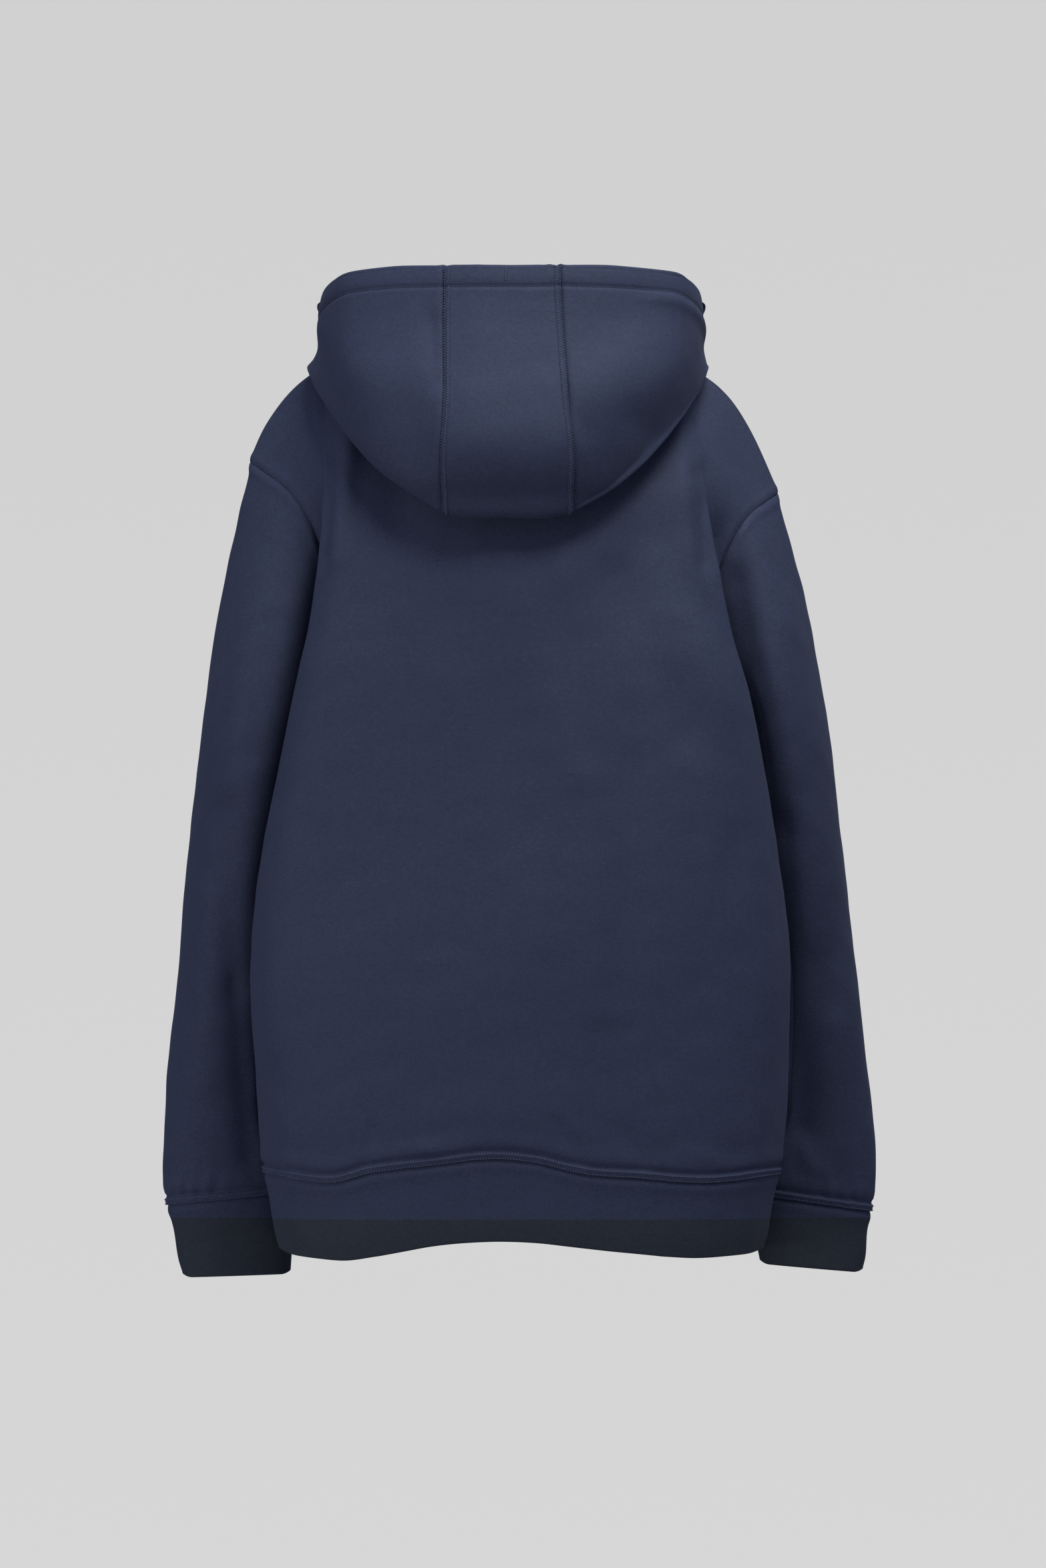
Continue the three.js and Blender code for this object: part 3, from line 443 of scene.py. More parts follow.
def centripetal(points, place):
    """A point on the centripetal spline through the points, place running from 0 to 1 by equal spans."""
    last = len(points) - 1
    at = place * last
    i = min(int(at), last - 1)
    share = at - i
    p1, p2 = points[i], points[i + 1]
    p0 = points[i - 1] if i > 0 else 2 * p1 - p2
    p3 = points[i + 2] if i + 2 <= last else 2 * p2 - p1
    d0, d1, d2 = (max(np.linalg.norm(b - a) ** 0.5, 1e-4) for a, b in ((p0, p1), (p1, p2), (p2, p3)))
    start = ((p1 - p0) / d0 - (p2 - p0) / (d0 + d1) + (p2 - p1) / d1) * d1
    end = ((p2 - p1) / d1 - (p3 - p1) / (d1 + d2) + (p3 - p2) / d2) * d1
    return hermite(share, p1, start, p2, end)


def hood_line(middle, half, slide):
    """One hood line, a point for each column, from the centre front round by the left and the back."""
    half = np.array(half, float).T
    loop = np.vstack([half[:0:-1] * (-1, 1, 1), half])
    stations = len(HOOD_STATIONS) - 1
    points = []
    for column in range(-2 * NECK_COLUMNS, 2 * NECK_COLUMNS + 1):
        step = abs(column)
        seam = slide[0] if column < 0 else slide[1]
        place = np.interp(step, HOOD_STATIONS, (0, seam, *range(2, stations + 1)))
        p = centripetal(loop, (stations + np.sign(column) * place) / (2 * stations))
        at_front = max(step - HOOD_STATIONS[3], 0) / (2 * NECK_COLUMNS - HOOD_STATIONS[3])
        p[0] += middle * (1 - smooth(at_front))
        points.append(p)
    return np.array(points)


def hood(back, front, body):
    """The whole hood as rows of points from the neckline to the open edge."""
    neckline = []
    for column in range(-2 * NECK_COLUMNS, 2 * NECK_COLUMNS + 1):
        step, sign = abs(column), int(np.sign(column))
        on_back = step <= NECK_COLUMNS
        panel = back if on_back else front
        neckline.append(panel[-1, HALF_COLUMNS + sign * (step if on_back else 2 * NECK_COLUMNS - step)])
    lines = np.array([neckline] + [hood_line(*line, slide) for line, slide in zip(HOOD_LINES, STRIP_SLIDE)])
    spans = len(HOOD_STEPS)
    steps = [span + step / count for span, count in enumerate(HOOD_STEPS) for step in range(count)]
    places = [step / spans for step in (*steps, spans)]
    grid = np.array([[centripetal(lines[:, c], place) for c in range(lines.shape[1])] for place in places])
    for j in range(1, len(grid)):
        gap = REST_GAP * min(0.4 + j / 4, 1)
        grid[j] = [body.clear(p, gap) for p in grid[j]]
    return grid


def at_places(grid, places, axis, closed=False):
    """The grid read at fractional places along an axis, on smooth curves through its points."""
    p = np.moveaxis(grid, axis, 0)
    if closed:
        padded = np.concatenate([p[-1:], p, p[:2]])
        low = np.minimum(np.floor(places).astype(int), len(p) - 1)
    else:
        padded = np.concatenate([2 * p[:1] - p[1:2], p, 2 * p[-1:] - p[-2:-1]])
        low = np.clip(np.floor(places).astype(int), 0, len(p) - 2)
    t = (np.asarray(places) - low).reshape(-1, *[1] * (p.ndim - 1))
    a, b, c, d = (padded[low + k] for k in range(4))
    fine = 0.5 * (2 * b + (c - a) * t + (2 * a - 5 * b + 4 * c - d) * t**2 + (3 * b - a - 3 * c + d) * t**3)
    return np.moveaxis(fine, 0, axis)


def finer(grid, rows, columns, closed=False):
    return at_places(at_places(grid, rows, 0), columns, 1, closed)


def even(last, times):
    return np.arange(last * times + 1) / times


def crowded(last, first=True, final=True):
    """Places from 0 to last, one apart, and closer near the ends where a seam needs it."""
    near = np.array(SEAM_PLACES)
    start = near if first else near[:0]
    end = last - near if final else near[:0]
    return np.unique(np.concatenate([np.arange(last + 1.0), start, end]))


def relaxed(grid, times, closed=False):
    """The grid with its facets smoothed away, the borders held."""
    now = grid.copy()
    for _ in range(times):
        if closed:
            around = np.roll(now, 1, axis=1) + np.roll(now, -1, axis=1)
            now[1:-1] = (4 * now[1:-1] + around[1:-1] + now[:-2] + now[2:]) / 8
        else:
            around = now[1:-1, :-2] + now[1:-1, 2:] + now[:-2, 1:-1] + now[2:, 1:-1]
            now[1:-1, 1:-1] = (4 * now[1:-1, 1:-1] + around) / 8
    return now


def draw_to(grid, row, border, reach):
    """Moves a row of the grid to a border, and the rows after it less and less."""
    now = grid.copy()
    step = 1 if row == 0 else -1
    move = border - now[row]
    for j in range(reach):
        now[row + step * j] += move * smooth(1 - j / reach)
    return now


class Cloth:
    """A piece of cloth: the grid of its outer points, row by row, and its outward normals."""

    def __init__(self, name, grid, slot, wall, closed=False, flip=1, free=None):
        self.name = name
        self.grid = grid
        self.slot = slot
        self.wall = wall
        self.closed = closed
        self.flip = flip
        self.free = free
        self.end, self.inside = (0, 1) if free == "first" else (-1, -2)
        self.normals = grid_normals(grid, closed, flip)
        if free:
            self.trim()

    def trim(self):
        """Draws the free edge back by the half round that its fold adds."""
        edge = self.grid[self.end]
        back = unit(self.grid[self.inside] - edge) * np.atleast_1d(self.wall)[self.end] / 2
        self.grid = draw_to(self.grid, self.end, edge + back, 4)

    def push(self, height):
        """Moves the points along their normals by a height in millimetres."""
        self.grid = self.grid + self.normals * height[..., None]

    def borders(self):
        rows, columns = self.grid.shape[:2]
        cells = [(j, i) for j in (0, rows - 1) for i in range(columns)]
        if not self.closed:
            cells += [(j, i) for i in (0, columns - 1) for j in range(1, rows - 1)]
        return cells

    def from_side(self, side):
        """The grid and normals with one side as their first row, and the distance run from it."""
        grid, normals = self.grid, self.normals
        if side in ("left", "right"):
            grid, normals = grid.swapaxes(0, 1), normals.swapaxes(0, 1)
        if side in ("last", "right"):
            grid, normals = grid[::-1], normals[::-1]
        return grid, normals, lengths(grid, 0)

    def distance(self, side):
        """Distance of each point from one side."""
        run = self.from_side(side)[2]
        if side in ("last", "right"):
            run = run[::-1]
        return run.swapaxes(0, 1) if side in ("left", "right") else run

    def line(self, side, distance, height):
        """A line at a distance inside one side, lifted off the cloth, with its normals."""
        grid, normals, run = self.from_side(side)
        columns = range(grid.shape[1])
        points = np.array([read_at(distance, run[:, i], grid[:, i]) for i in columns])
        ups = unit(np.array([read_at(distance, run[:, i], normals[:, i]) for i in columns]))
        return points + ups * height, ups


def round_corners(cloth, end, reach, lift):
    """Lifts the free edge of a tube a little where it turns round at its two sides."""
    edge = cloth.grid[end]
    from_side = np.minimum(edge[:, 0] - edge[:, 0].min(), edge[:, 0].max() - edge[:, 0])
    rise = lift * (1 - np.clip(from_side / reach, 0, 1)) ** 2
    moved = edge + rise[:, None] * np.array((0, 0, 1))
    cloth.grid = draw_to(cloth.grid, end, moved, 8)


def sewn_points(cloths):
    """The points that pieces share where they are sewn, as lists of piece, row and column."""
    found = {}
    for cloth in cloths:
        for j, i in cloth.borders():
            key = tuple(np.round(cloth.grid[j, i], 2) + 0.0)
            found.setdefault(key, []).append((cloth, j, i))
    return [meeting for meeting in found.values() if len(meeting) > 1]


def share_normals(sewn):
    """Gives sewn pieces one normal where they meet."""
    for meeting in sewn:
        normal = unit(sum(cloth.normals[j, i] for cloth, j, i in meeting))
        for cloth, j, i in meeting:
            cloth.normals[j, i] = normal


def close_seams(sewn):
    """Puts the points where sewn pieces meet back on one place."""
    for meeting in sewn:
        middle = sum(cloth.grid[j, i] for cloth, j, i in meeting) / len(meeting)
        for cloth, j, i in meeting:
            cloth.grid[j, i] = middle


def lengths(grid, axis):
    """Distance run along an axis of the grid, from its start."""
    steps = np.linalg.norm(np.diff(grid, axis=axis), axis=-1)
    start = np.zeros_like(np.take(steps, [0], axis=axis))
    return np.concatenate([start, np.cumsum(steps, axis=axis)], axis=axis)


def read_at(places, run, values):
    """Points or directions read at distances along a line."""
    return np.stack([np.interp(places, run, values[:, k]) for k in range(3)], axis=-1)


def bump_at(distance, place, width):
    """1 at a place, falling off to both sides."""
    return np.exp(-(((distance - place) / width) ** 2))


def ridge(x, z, from_x, from_z, to_x, to_z, width, height):
    """Height of a soft fold along a line seen from the back."""
    along = np.array((to_x - from_x, to_z - from_z), float)
    size = np.linalg.norm(along)
    along = along / size
    dx, dz = x - from_x, z - from_z
    t = dx * along[0] + dz * along[1]
    off = dx * along[1] - dz * along[0]
    past = np.maximum(np.maximum(-t, t - size), 0)
    return height * np.exp(-((off / width) ** 2) - (past / (1.3 * width)) ** 2)


def undulation(p, size, seed):
    """A slow, even wave over the cloth, from -1 to 1."""
    rng = np.random.default_rng(seed)
    total = np.zeros(p.shape[:-1])
    for _ in range(9):
        way = unit(rng.normal(size=3))
        wave = 2 * np.pi / (size * rng.uniform(0.7, 1.6))
        total += np.sin(p @ way * wave + rng.uniform(0, 2 * np.pi))
    return total / 4.5


# Soft folds as lines seen from the back, with their half width and height
BACK_FOLDS = table("""
x z toX toZ width height
16 -195 30 -430 55 5.0
50 -385 95 -385 100 7.0
-140 -480 40 -490 85 6.0
118 -158 150 -172 46 -7.0
96 -100 132 -92 22 4.0
-120 -190 20 -200 38 -3.0
78 -165 132 -285 17 -3.2
112 -150 160 -262 14 2.0
0 -190 46 -318 17 1.8
-15 -255 5 -350 24 -1.8
60 -330 60 -500 18 1.4
86 -320 84 -490 18 -1.3
171 -375 168 -400 15 -2.2
-76 -457 -42 -455 4 -0.7
60 -523 90 -521 5 -0.4
70 -596 84 -600 12 -0.8
30 -585 40 -598 6 0.8
-118 -602 -121 -634 6 -1.4
-74 -617 -58 -621 7 1.3
36 -600 50 -628 7 -1.4
130 -618 150 -622 6 1.5
84 -606 98 -626 8 -0.9
-158 -370 -152 -500 9 -0.7
-172 -380 -170 -480 7 0.5
-196 -555 -190 -568 8 -1.2
-58 -150 -52 -205 20 -1.2
-110 -200 -140 -300 26 1.2
-149 -66 -158 -142 8 -4.2
-133 -45 -145 -145 9 2.8
-110 -60 -92 -128 22 -3.0
143 -82 154 -146 9 -4.6
128 -78 138 -150 10 2.0
152 -50 176 -116 14 2.4
""")
LEFT_SLEEVE_FOLDS = table("""
x z toX toZ width height
-236 -350 -226 -490 12 -3.2
-226 -490 -214 -620 11 -3.0
-252 -420 -250 -560 12 1.6
-200 -200 -214 -300 10 -1.6
""")
RIGHT_SLEEVE_FOLDS = table("""
x z toX toZ width height
172 -170 206 -350 16 -5.0
208 -372 219 -600 15 -5.0
236 -470 228 -600 12 -2.4
222 -230 236 -330 12 -1.6
252 -520 256 -610 10 1.6
226 -616 236 -632 8 1.6
""")
HOOD_FOLDS = table("""
x z toX toZ width height
-44 -60 22 -60 26 6.0
-88 -28 -76 -62 18 -3.0
-68 38 -64 -4 8 -2.0
-40 4 18 4 12 -1.0
92 -78 120 -44 26 -5.0
64 -6 96 16 22 3.0
-66 -101 52 -101 13 -2.5
36 -20 52 -44 9 -1.4
18 0 30 -22 6 1.0
-50 62 26 58 9 -0.8
96 -40 122 -62 16 -2.0
""")
# Slow waves over all cloth: height, size and seed of each
UNDULATIONS = ((0.9, 95, 3), (0.35, 34, 5))
# Pressed seams: depth, width, fullness beside the seam, pucker
BODY_SEAM = (1.3, 1.6, 0.5, 0.16)
SLEEVE_SEAM = (1.3, 1.6, 0.7, 0.2)
RIB_SEAM = (1.6, 1.9, 0.6, 0.12)
HOOD_SEAM = (1.7, 1.6, 0.4, 0.05)
# Seams that are stitched down: depth of the groove, swell past it, pucker
BODY_HEM = (1.2, 1.1, 0.18)
SLEEVE_HEM = (1.2, 0.9, 0.25)
# Gathers: height and reach
BODY_GATHERS = (0.45, 26)
SLEEVE_GATHERS = (1.3, 34)
# Lifted corners of tubes: reach and lift
HEM_CORNER = (13, 3.2)
CUFF_CORNER = (7, 2.5)


def fold_height(cloth, folds):
    x, z = cloth.grid[..., 0], cloth.grid[..., 2]
    seen = np.clip(-cloth.normals[..., 1] * 2, 0, 1)
    return sum(ridge(x, z, *fold) for fold in zip(*folds.values())) * seen


def puckers(cloth, side):
    """Small uneven waves along a seam."""
    run = lengths(cloth.grid, 1 if side in ("first", "last") else 0)
    return np.sin(run / 4.1) + 0.7 * np.sin(run / 2.7 + 1.3)


def press_seam(cloth, side, depth, width, puff, pucker):
    """Height of the cloth beside a seam: sunk at the seam, full beside it, and a little puckered."""
    d = cloth.distance(side)
    puffed = puff * bump_at(d, 3.2 * width, 2 * width)
    return -depth * np.exp(-d / width) + puffed + pucker * puckers(cloth, side) * np.exp(-d / 9)


def stitch_down(cloth, side, depth, swell, pucker):
    """Height of the cloth beside a seam that is stitched down: a groove past the stitches, then a swell."""
    d = cloth.distance(side)
    groove = -depth * bump_at(d, BAND_WIDTH + 1.3, 1.5) - 0.4 * np.exp(-d / 1.5)
    return groove + (swell + pucker * puckers(cloth, side)) * bump_at(d, BAND_WIDTH + 8, 6)


def gathers(cloth, side, height, reach):
    """Small upright folds where the cloth is gathered into a rib."""
    d = cloth.distance(side)
    run = lengths(cloth.grid, 1)
    waves = np.sin(run / 2.3 + 2 * np.sin(run / 17)) * (0.6 + 0.4 * np.sin(run / 13 + 1))
    return height * waves * np.exp(-d / reach * 2) * smooth(np.clip(d / 9, 0, 1))


def shape_cloths(cloths, sewn):
    """Gives the plain cloths their folds and their pressed seams."""
    round_corners(cloths["hem_band"], 0, *HEM_CORNER)
    for name in ("cuff_left", "cuff_right"):
        round_corners(cloths[name], -1, *CUFF_CORNER)
    for name, cloth in cloths.items():
        sides = ("first", "last") if cloth.closed else ("first", "last", "left", "right")
        d = np.minimum.reduce([cloth.distance(side) for side in sides])
        inside = smooth(np.clip(d / 30, 0, 1))
        height = inside * sum(rise * undulation(cloth.grid, size, seed) for rise, size, seed in UNDULATIONS)
        if name == "back":
            height += fold_height(cloth, BACK_FOLDS) * smooth(np.clip(d / 14, 0, 1))
        if name in ("back", "front"):
            height += press_seam(cloth, "left", *BODY_SEAM)
            height += press_seam(cloth, "right", *BODY_SEAM)
            height += stitch_down(cloth, "first", *BODY_HEM)
            height += gathers(cloth, "first", *BODY_GATHERS)
        if name.startswith("sleeve"):
            folds = LEFT_SLEEVE_FOLDS if name == "sleeve_left" else RIGHT_SLEEVE_FOLDS
            height += fold_height(cloth, folds) * smooth(np.clip(d / 20, 0, 1))
            height += press_seam(cloth, "first", *SLEEVE_SEAM)
            height += stitch_down(cloth, "last", *SLEEVE_HEM)
            height += gathers(cloth, "last", *SLEEVE_GATHERS)
        if name.startswith("cuff"):
            height = height * 0.5 + press_seam(cloth, "first", *RIB_SEAM)
        if name == "hem_band":
            height = height * 0.7 + press_seam(cloth, "last", *RIB_SEAM)
        if name.startswith("hood"):
            rim = cloth.distance("last")
            height = height * 0.8 - 1.2 * bump_at(rim, CASING_DEPTH, 1.5) + 0.5 * bump_at(rim, 8, 5)
            height += fold_height(cloth, HOOD_FOLDS)
            for side in ("left", "right"):
                if name != "hood_" + side:
                    height += press_seam(cloth, side, *HOOD_SEAM)
        if name == "hood_right":
            past_seam = smooth(np.clip((cloth.grid[..., 0] - 85) / 30, 0, 1))
            height += 2.0 * bump_at(rim, CASING_DEPTH + 7, 6) * past_seam
        cloth.push(height)
    close_seams(sewn)
    for cloth in cloths.values():
        cloth.normals = grid_normals(cloth.grid, cloth.closed, cloth.flip)
    share_normals(sewn)


def shell(cloth, material):
    """The piece as a closed mesh: both faces, sewn edges, and a round fold along its free edge."""
    grid, normals = cloth.grid, cloth.normals
    rows, columns = grid.shape[:2]
    wall = np.broadcast_to(np.asarray(cloth.wall, float).reshape(-1, 1, 1), (rows, 1, 1))
    inner = grid - normals * wall
    place = np.stack([lengths(grid, 1), lengths(grid, 0)], axis=-1) * METRE
    layers, places = [grid, inner[::-1]], [place, place[::-1]]
    if cloth.free:
        end, at = cloth.end, 0 if cloth.free == "first" else 1
        out = unit(grid[end] - grid[cloth.inside])
        middle, half = (grid[end] + inner[end]) / 2, wall[end] / 2
        angles = FOLD_ANGLES if at else FOLD_ANGLES[::-1]
        fold = [middle + half * (normals[end] * np.cos(a) + out * np.sin(a)) for a in angles]
        layers.insert(at, np.array(fold))
        places.insert(at, np.repeat(place[end][None], len(fold), axis=0))
    loop = np.concatenate(layers)
    count = len(loop)
    index = np.arange(count * columns).reshape(count, columns)
    after = np.roll(index, -1, axis=0)
    if cloth.closed:
        quads = np.stack([index, np.roll(index, -1, axis=1), np.roll(after, -1, axis=1), after], axis=-1)
    else:
        quads = np.stack([index[:, :-1], index[:, 1:], after[:, 1:], after[:, :-1]], axis=-1)
    faces = quads.reshape(-1, 4)[:, :: cloth.flip].tolist()
    if not cloth.closed:
        faces += side_walls(index, rows, cloth)
    flat = np.concatenate(places).reshape(-1, 2)
    return add_mesh("cloth_" + cloth.name, loop.reshape(-1, 3), faces, material, flat)


def side_walls(index, rows, cloth):
    """The two side edges of an open piece, between its outer and its inner face."""
    faces = []
    for column, turn in ((0, -1), (-1, 1)):
        line = index[:, column].tolist()
        outer, fold, inner = line[:rows], line[rows:-rows], line[-rows:][::-1]
        walls = [[outer[j], inner[j], inner[j + 1], outer[j + 1]] for j in range(rows - 1)]
        if fold:
            walls.append([outer[-1], inner[-1], *fold[::-1]])
        faces += [wall[:: turn * cloth.flip] for wall in walls]
    return faces


def add_mesh(name, points, faces, material, flat=None):
    """A smooth mesh from points in millimetres and, for cloth, their places on the flat piece."""
    mesh = bpy.data.meshes.new(name)
    mesh.from_pydata((points * METRE).tolist(), [], faces)
    mesh.polygons.foreach_set("use_smooth", [True] * len(mesh.polygons))
    if flat is not None:
        layer = mesh.uv_layers.new(name="UVMap")
        corners = np.empty(len(mesh.loops), int)
        mesh.loops.foreach_get("vertex_index", corners)
        layer.data.foreach_set("uv", flat[corners].ravel())
    mesh.materials.append(material)
    piece = bpy.data.objects.new(name, mesh)
    bpy.context.scene.collection.objects.link(piece)
    return piece


# Raised seams: the section from the seam over it and back, as distance and height
RAISED = ((0.0, -0.2), (0.3, 0.6), (1.4, 1.0), (3.0, 0.6), (4.6, 1.0), (5.8, 0.6), (6.2, -0.2), (3.0, -0.6))
BAND_WIDTH = 6.2
THREAD_ROWS = (1.4, 4.6)
# Threads: pitch, length, radius, turn out of the line
ROW_THREAD = (2.2, 1.9, 0.5, 0.3)
CROSS_THREAD = (2.2, 3.0, 0.24, 1.2)
CASING_THREAD = (2.1, 1.5, 0.3, 0.5)
BARTACK_THREAD = (0.55, 1.7, 0.36, np.pi / 2)
ROW_HEIGHT, CROSS_HEIGHT, CASING_HEIGHT, BARTACK_HEIGHT = 1.05, 0.6, 0.25, 0.35
# A thread's form: places along it and its thickness there, and the sides of its section
THREAD_FORM, THREAD_SIDES = ((-0.5, 0), (-0.32, 0.8), (0, 1), (0.32, 0.8), (0.5, 0)), 5
BARTACK_X, BARTACK_FROM, BARTACK_TO = -9.5, 1.0, 11.0


class Parts:
    """Points and faces of many small forms that become one mesh."""

    def __init__(self):
        self.points = []
        self.faces = []
        self.count = 0

    def add(self, points, faces):
        self.points.append(points)
        self.faces += [[v + self.count for v in face] for face in faces]
        self.count += len(points)

    def tube(self, lines, closed):
        """A band whose long edges are the lines, in order round it."""
        rings = np.stack(lines, axis=1)
        n, m = rings.shape[:2]
        faces = []
        for k in range(n if closed else n - 1):
            for i in range(m):
                a, b = k * m + i, k * m + (i + 1) % m
                c, d = (k + 1) % n * m + (i + 1) % m, (k + 1) % n * m + i
                faces.append([a, b, c, d])
        if not closed:
            faces += [list(range(m))[::-1], list(range((n - 1) * m, n * m))]
        self.add(rings.reshape(-1, 3), faces)

    def threads(self, line, ups, pitch, length, radius, turn, closed=False):
        """Short visible threads along a line, one each pitch, turned a little out of it."""
        if closed:
            line = np.vstack([line, line[:1]])
            ups = np.vstack([ups, ups[:1]])
        run = lengths(line[:, None], 0)[:, 0]
        places = np.arange(pitch / 2, run[-1], pitch)
        up = unit(read_at(places, run, ups))
        along = unit(read_at(places + 0.5, run, line) - read_at(places - 0.5, run, line))
        way = along * np.cos(turn) + unit(np.cross(up, along)) * np.sin(turn)
        across = np.cross(up, way)
        sides, form = THREAD_SIDES, []
        for share, thick in THREAD_FORM:
            for angle in np.arange(sides) / sides * 2 * np.pi if thick else (0,):
                form.append((share * length, thick * radius * np.cos(angle), thick * radius * np.sin(angle)))
        made = read_at(places, run, line)[:, None]
        for values, axis in zip(np.array(form).T, (way, across, up)):
            made = made + values[:, None] * axis[:, None]
        pairs = [(i, (i + 1) % sides) for i in range(sides)]
        faces = [[0, 1 + j, 1 + i] for i, j in pairs]
        for ring in (1, 1 + sides):
            faces += [[ring + i, ring + j, ring + sides + j, ring + sides + i] for i, j in pairs]
        last = 1 + 2 * sides
        faces += [[last + i, last + j, last + sides] for i, j in pairs]
        for one in made:
            self.add(one, faces)

    def piece(self, name, material):
        piece = add_mesh(name, np.concatenate(self.points), self.faces, material)
        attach(piece, "root")


def covered_seam(threads, bands, sides, closed):
    """A seam stitched down in two rows, along sides given as piece, side and turn."""
    def at(distance, height):
        lines = [cloth.line(side, distance, height) for cloth, side, _ in sides]
        lines = [(points[::turn], ups[::turn]) for (points, ups), (_, _, turn) in zip(lines, sides)]
        if len(lines) == 1:
            return lines[0]
        return tuple(np.vstack([line[k][1:] for line in lines]) for k in (0, 1))

    bands.tube([at(d, h)[0] for d, h in RAISED], closed)
    for row in THREAD_ROWS:
        threads.threads(*at(row, ROW_HEIGHT), *ROW_THREAD, closed)
    threads.threads(*at(sum(THREAD_ROWS) / 2, CROSS_HEIGHT), *CROSS_THREAD, closed)


def bartack_line(cloth):
    """A short line down from the open edge, at the bartack."""
    column = int(np.argmin(abs(cloth.grid[-1, :, 0] - BARTACK_X)))
    grid, normals, run = cloth.from_side("last")
    places = np.linspace(BARTACK_FROM, BARTACK_TO, 9)
    ups = unit(read_at(places, run[:, column], normals[:, column]))
    return read_at(places, run[:, column], grid[:, column]) + ups * BARTACK_HEIGHT, ups


def add_seams(cloths, materials):
    """The covered seams round the hem and cuffs and down the hood, and all visible threads."""
    bands, threads = Parts(), Parts()
    centre = cloths["hood_centre"]
    covered_seam(threads, bands, ((cloths["back"], "first", 1), (cloths["front"], "first", -1)), True)
    for name in ("left", "right"):
        covered_seam(threads, bands, ((cloths["sleeve_" + name], "last", 1),), True)
    for side in ("left", "right"):
        covered_seam(threads, bands, ((centre, side, 1),), False)
    for name in ("hood_left", "hood_centre", "hood_right"):
        threads.threads(*cloths[name].line("last", CASING_DEPTH, CASING_HEIGHT), *CASING_THREAD)
    threads.threads(*bartack_line(centre), *BARTACK_THREAD)
    bands.piece("raised_seams", materials["fleece"])
    threads.piece("stitches", materials["thread"])


# Materials. Each knit: colour above and below the colour line, strength of the fine bump
KNITS = {
    "fleece": ((0.03, 0.0388, 0.0765), (0.0225, 0.029, 0.042), 0.5),
    "rib": ((0.0272, 0.0359, 0.071), (0.0215, 0.027, 0.038), 0.5),
    "thread": ((0.060, 0.074, 0.128), (0.034, 0.042, 0.062), 0.2),
}
COLOUR_LINE = (-0.6725, -0.6715)
FINISH = {
    "Roughness": 0.75,
    "Specular IOR Level": 0.25,
    "Sheen Weight": 0.03,
    "Sheen Roughness": 0.5,
    "Sheen Tint": (0.75, 0.8, 1.0, 1),
}
# Noises that vary the colour: scale, detail, roughness, and the range of tone. Then their stretch
NOISES = ((120.0, 4.0, 0.7, 0.045), (1100.0, 2.0, 0.7, 0.16), (420.0, 2.0, 0.6, 0.1))
STRETCH = (0.8, 0.8, 1.0)


def add_node(tree, kind, inputs, **settings):
    """A node with its settings, each of its inputs linked to a socket or set to a value."""
    made = tree.nodes.new(kind)
    for name, value in settings.items():
        setattr(made, name, value)
    for key, value in inputs.items():
        if isinstance(value, bpy.types.NodeSocket):
            tree.links.new(value, made.inputs[key])
        else:
            made.inputs[key].default_value = value
    return made


def mapped(tree, source, low, high, to_low, to_high):
    """A value stretched from one range to another."""
    ends = {"From Min": low, "From Max": high, "To Min": to_low, "To Max": to_high}
    return add_node(tree, "ShaderNodeMapRange", {"Value": source, **ends}).outputs["Result"]


def new_material(name):
    material = bpy.data.materials.new(name)
    material.use_nodes = True
    return material, material.node_tree, material.node_tree.nodes["Principled BSDF"]


def product(tree, one, other):
    return add_node(tree, "ShaderNodeMath", {0: one, 1: other}, operation="MULTIPLY").outputs["Value"]


def cloth_material(name, light, dark, grain):
    """Matte knit: colour that varies a little, darker below its line, a fine nap and a soft sheen."""
    material, tree, shader = new_material(name)
    for socket, value in FINISH.items():
        shader.inputs[socket].default_value = value
    place = tree.nodes.new("ShaderNodeTexCoord").outputs["Object"]
    flat = add_node(tree, "ShaderNodeMapping", {"Vector": place, "Scale": STRETCH}).outputs["Vector"]
    noises, tones = [], []
    for scale, detail, roughness, reach in NOISES:
        inputs = {"Vector": flat, "Scale": scale, "Detail": detail, "Roughness": roughness}
        noises.append(add_node(tree, "ShaderNodeTexNoise", inputs).outputs["Fac"])
        tones.append(mapped(tree, noises[-1], 0.3, 0.7, 1 - reach, 1 + reach))
    variation = product(tree, product(tree, tones[0], tones[1]), tones[2])
    height = add_node(tree, "ShaderNodeSeparateXYZ", {"Vector": place}).outputs["Z"]
    inputs = {"Factor": mapped(tree, height, *COLOUR_LINE, 0, 1), "A": (*dark, 1), "B": (*light, 1)}
    shade = add_node(tree, "ShaderNodeMix", inputs, data_type="RGBA").outputs["Result"]
    colour = add_node(tree, "ShaderNodeVectorMath", {0: shade, "Scale": variation}, operation="SCALE")
    soft = add_node(tree, "ShaderNodeBump", {"Strength": 0.2, "Distance": 0.0006, "Height": noises[2]})
    inputs = {"Strength": grain, "Distance": 0.0004, "Height": noises[1], "Normal": soft.outputs["Normal"]}
    fine = add_node(tree, "ShaderNodeBump", inputs)
    tree.links.new(colour.outputs["Vector"], shader.inputs["Base Color"])
    tree.links.new(fine.outputs["Normal"], shader.inputs["Normal"])
    return material


# The garment

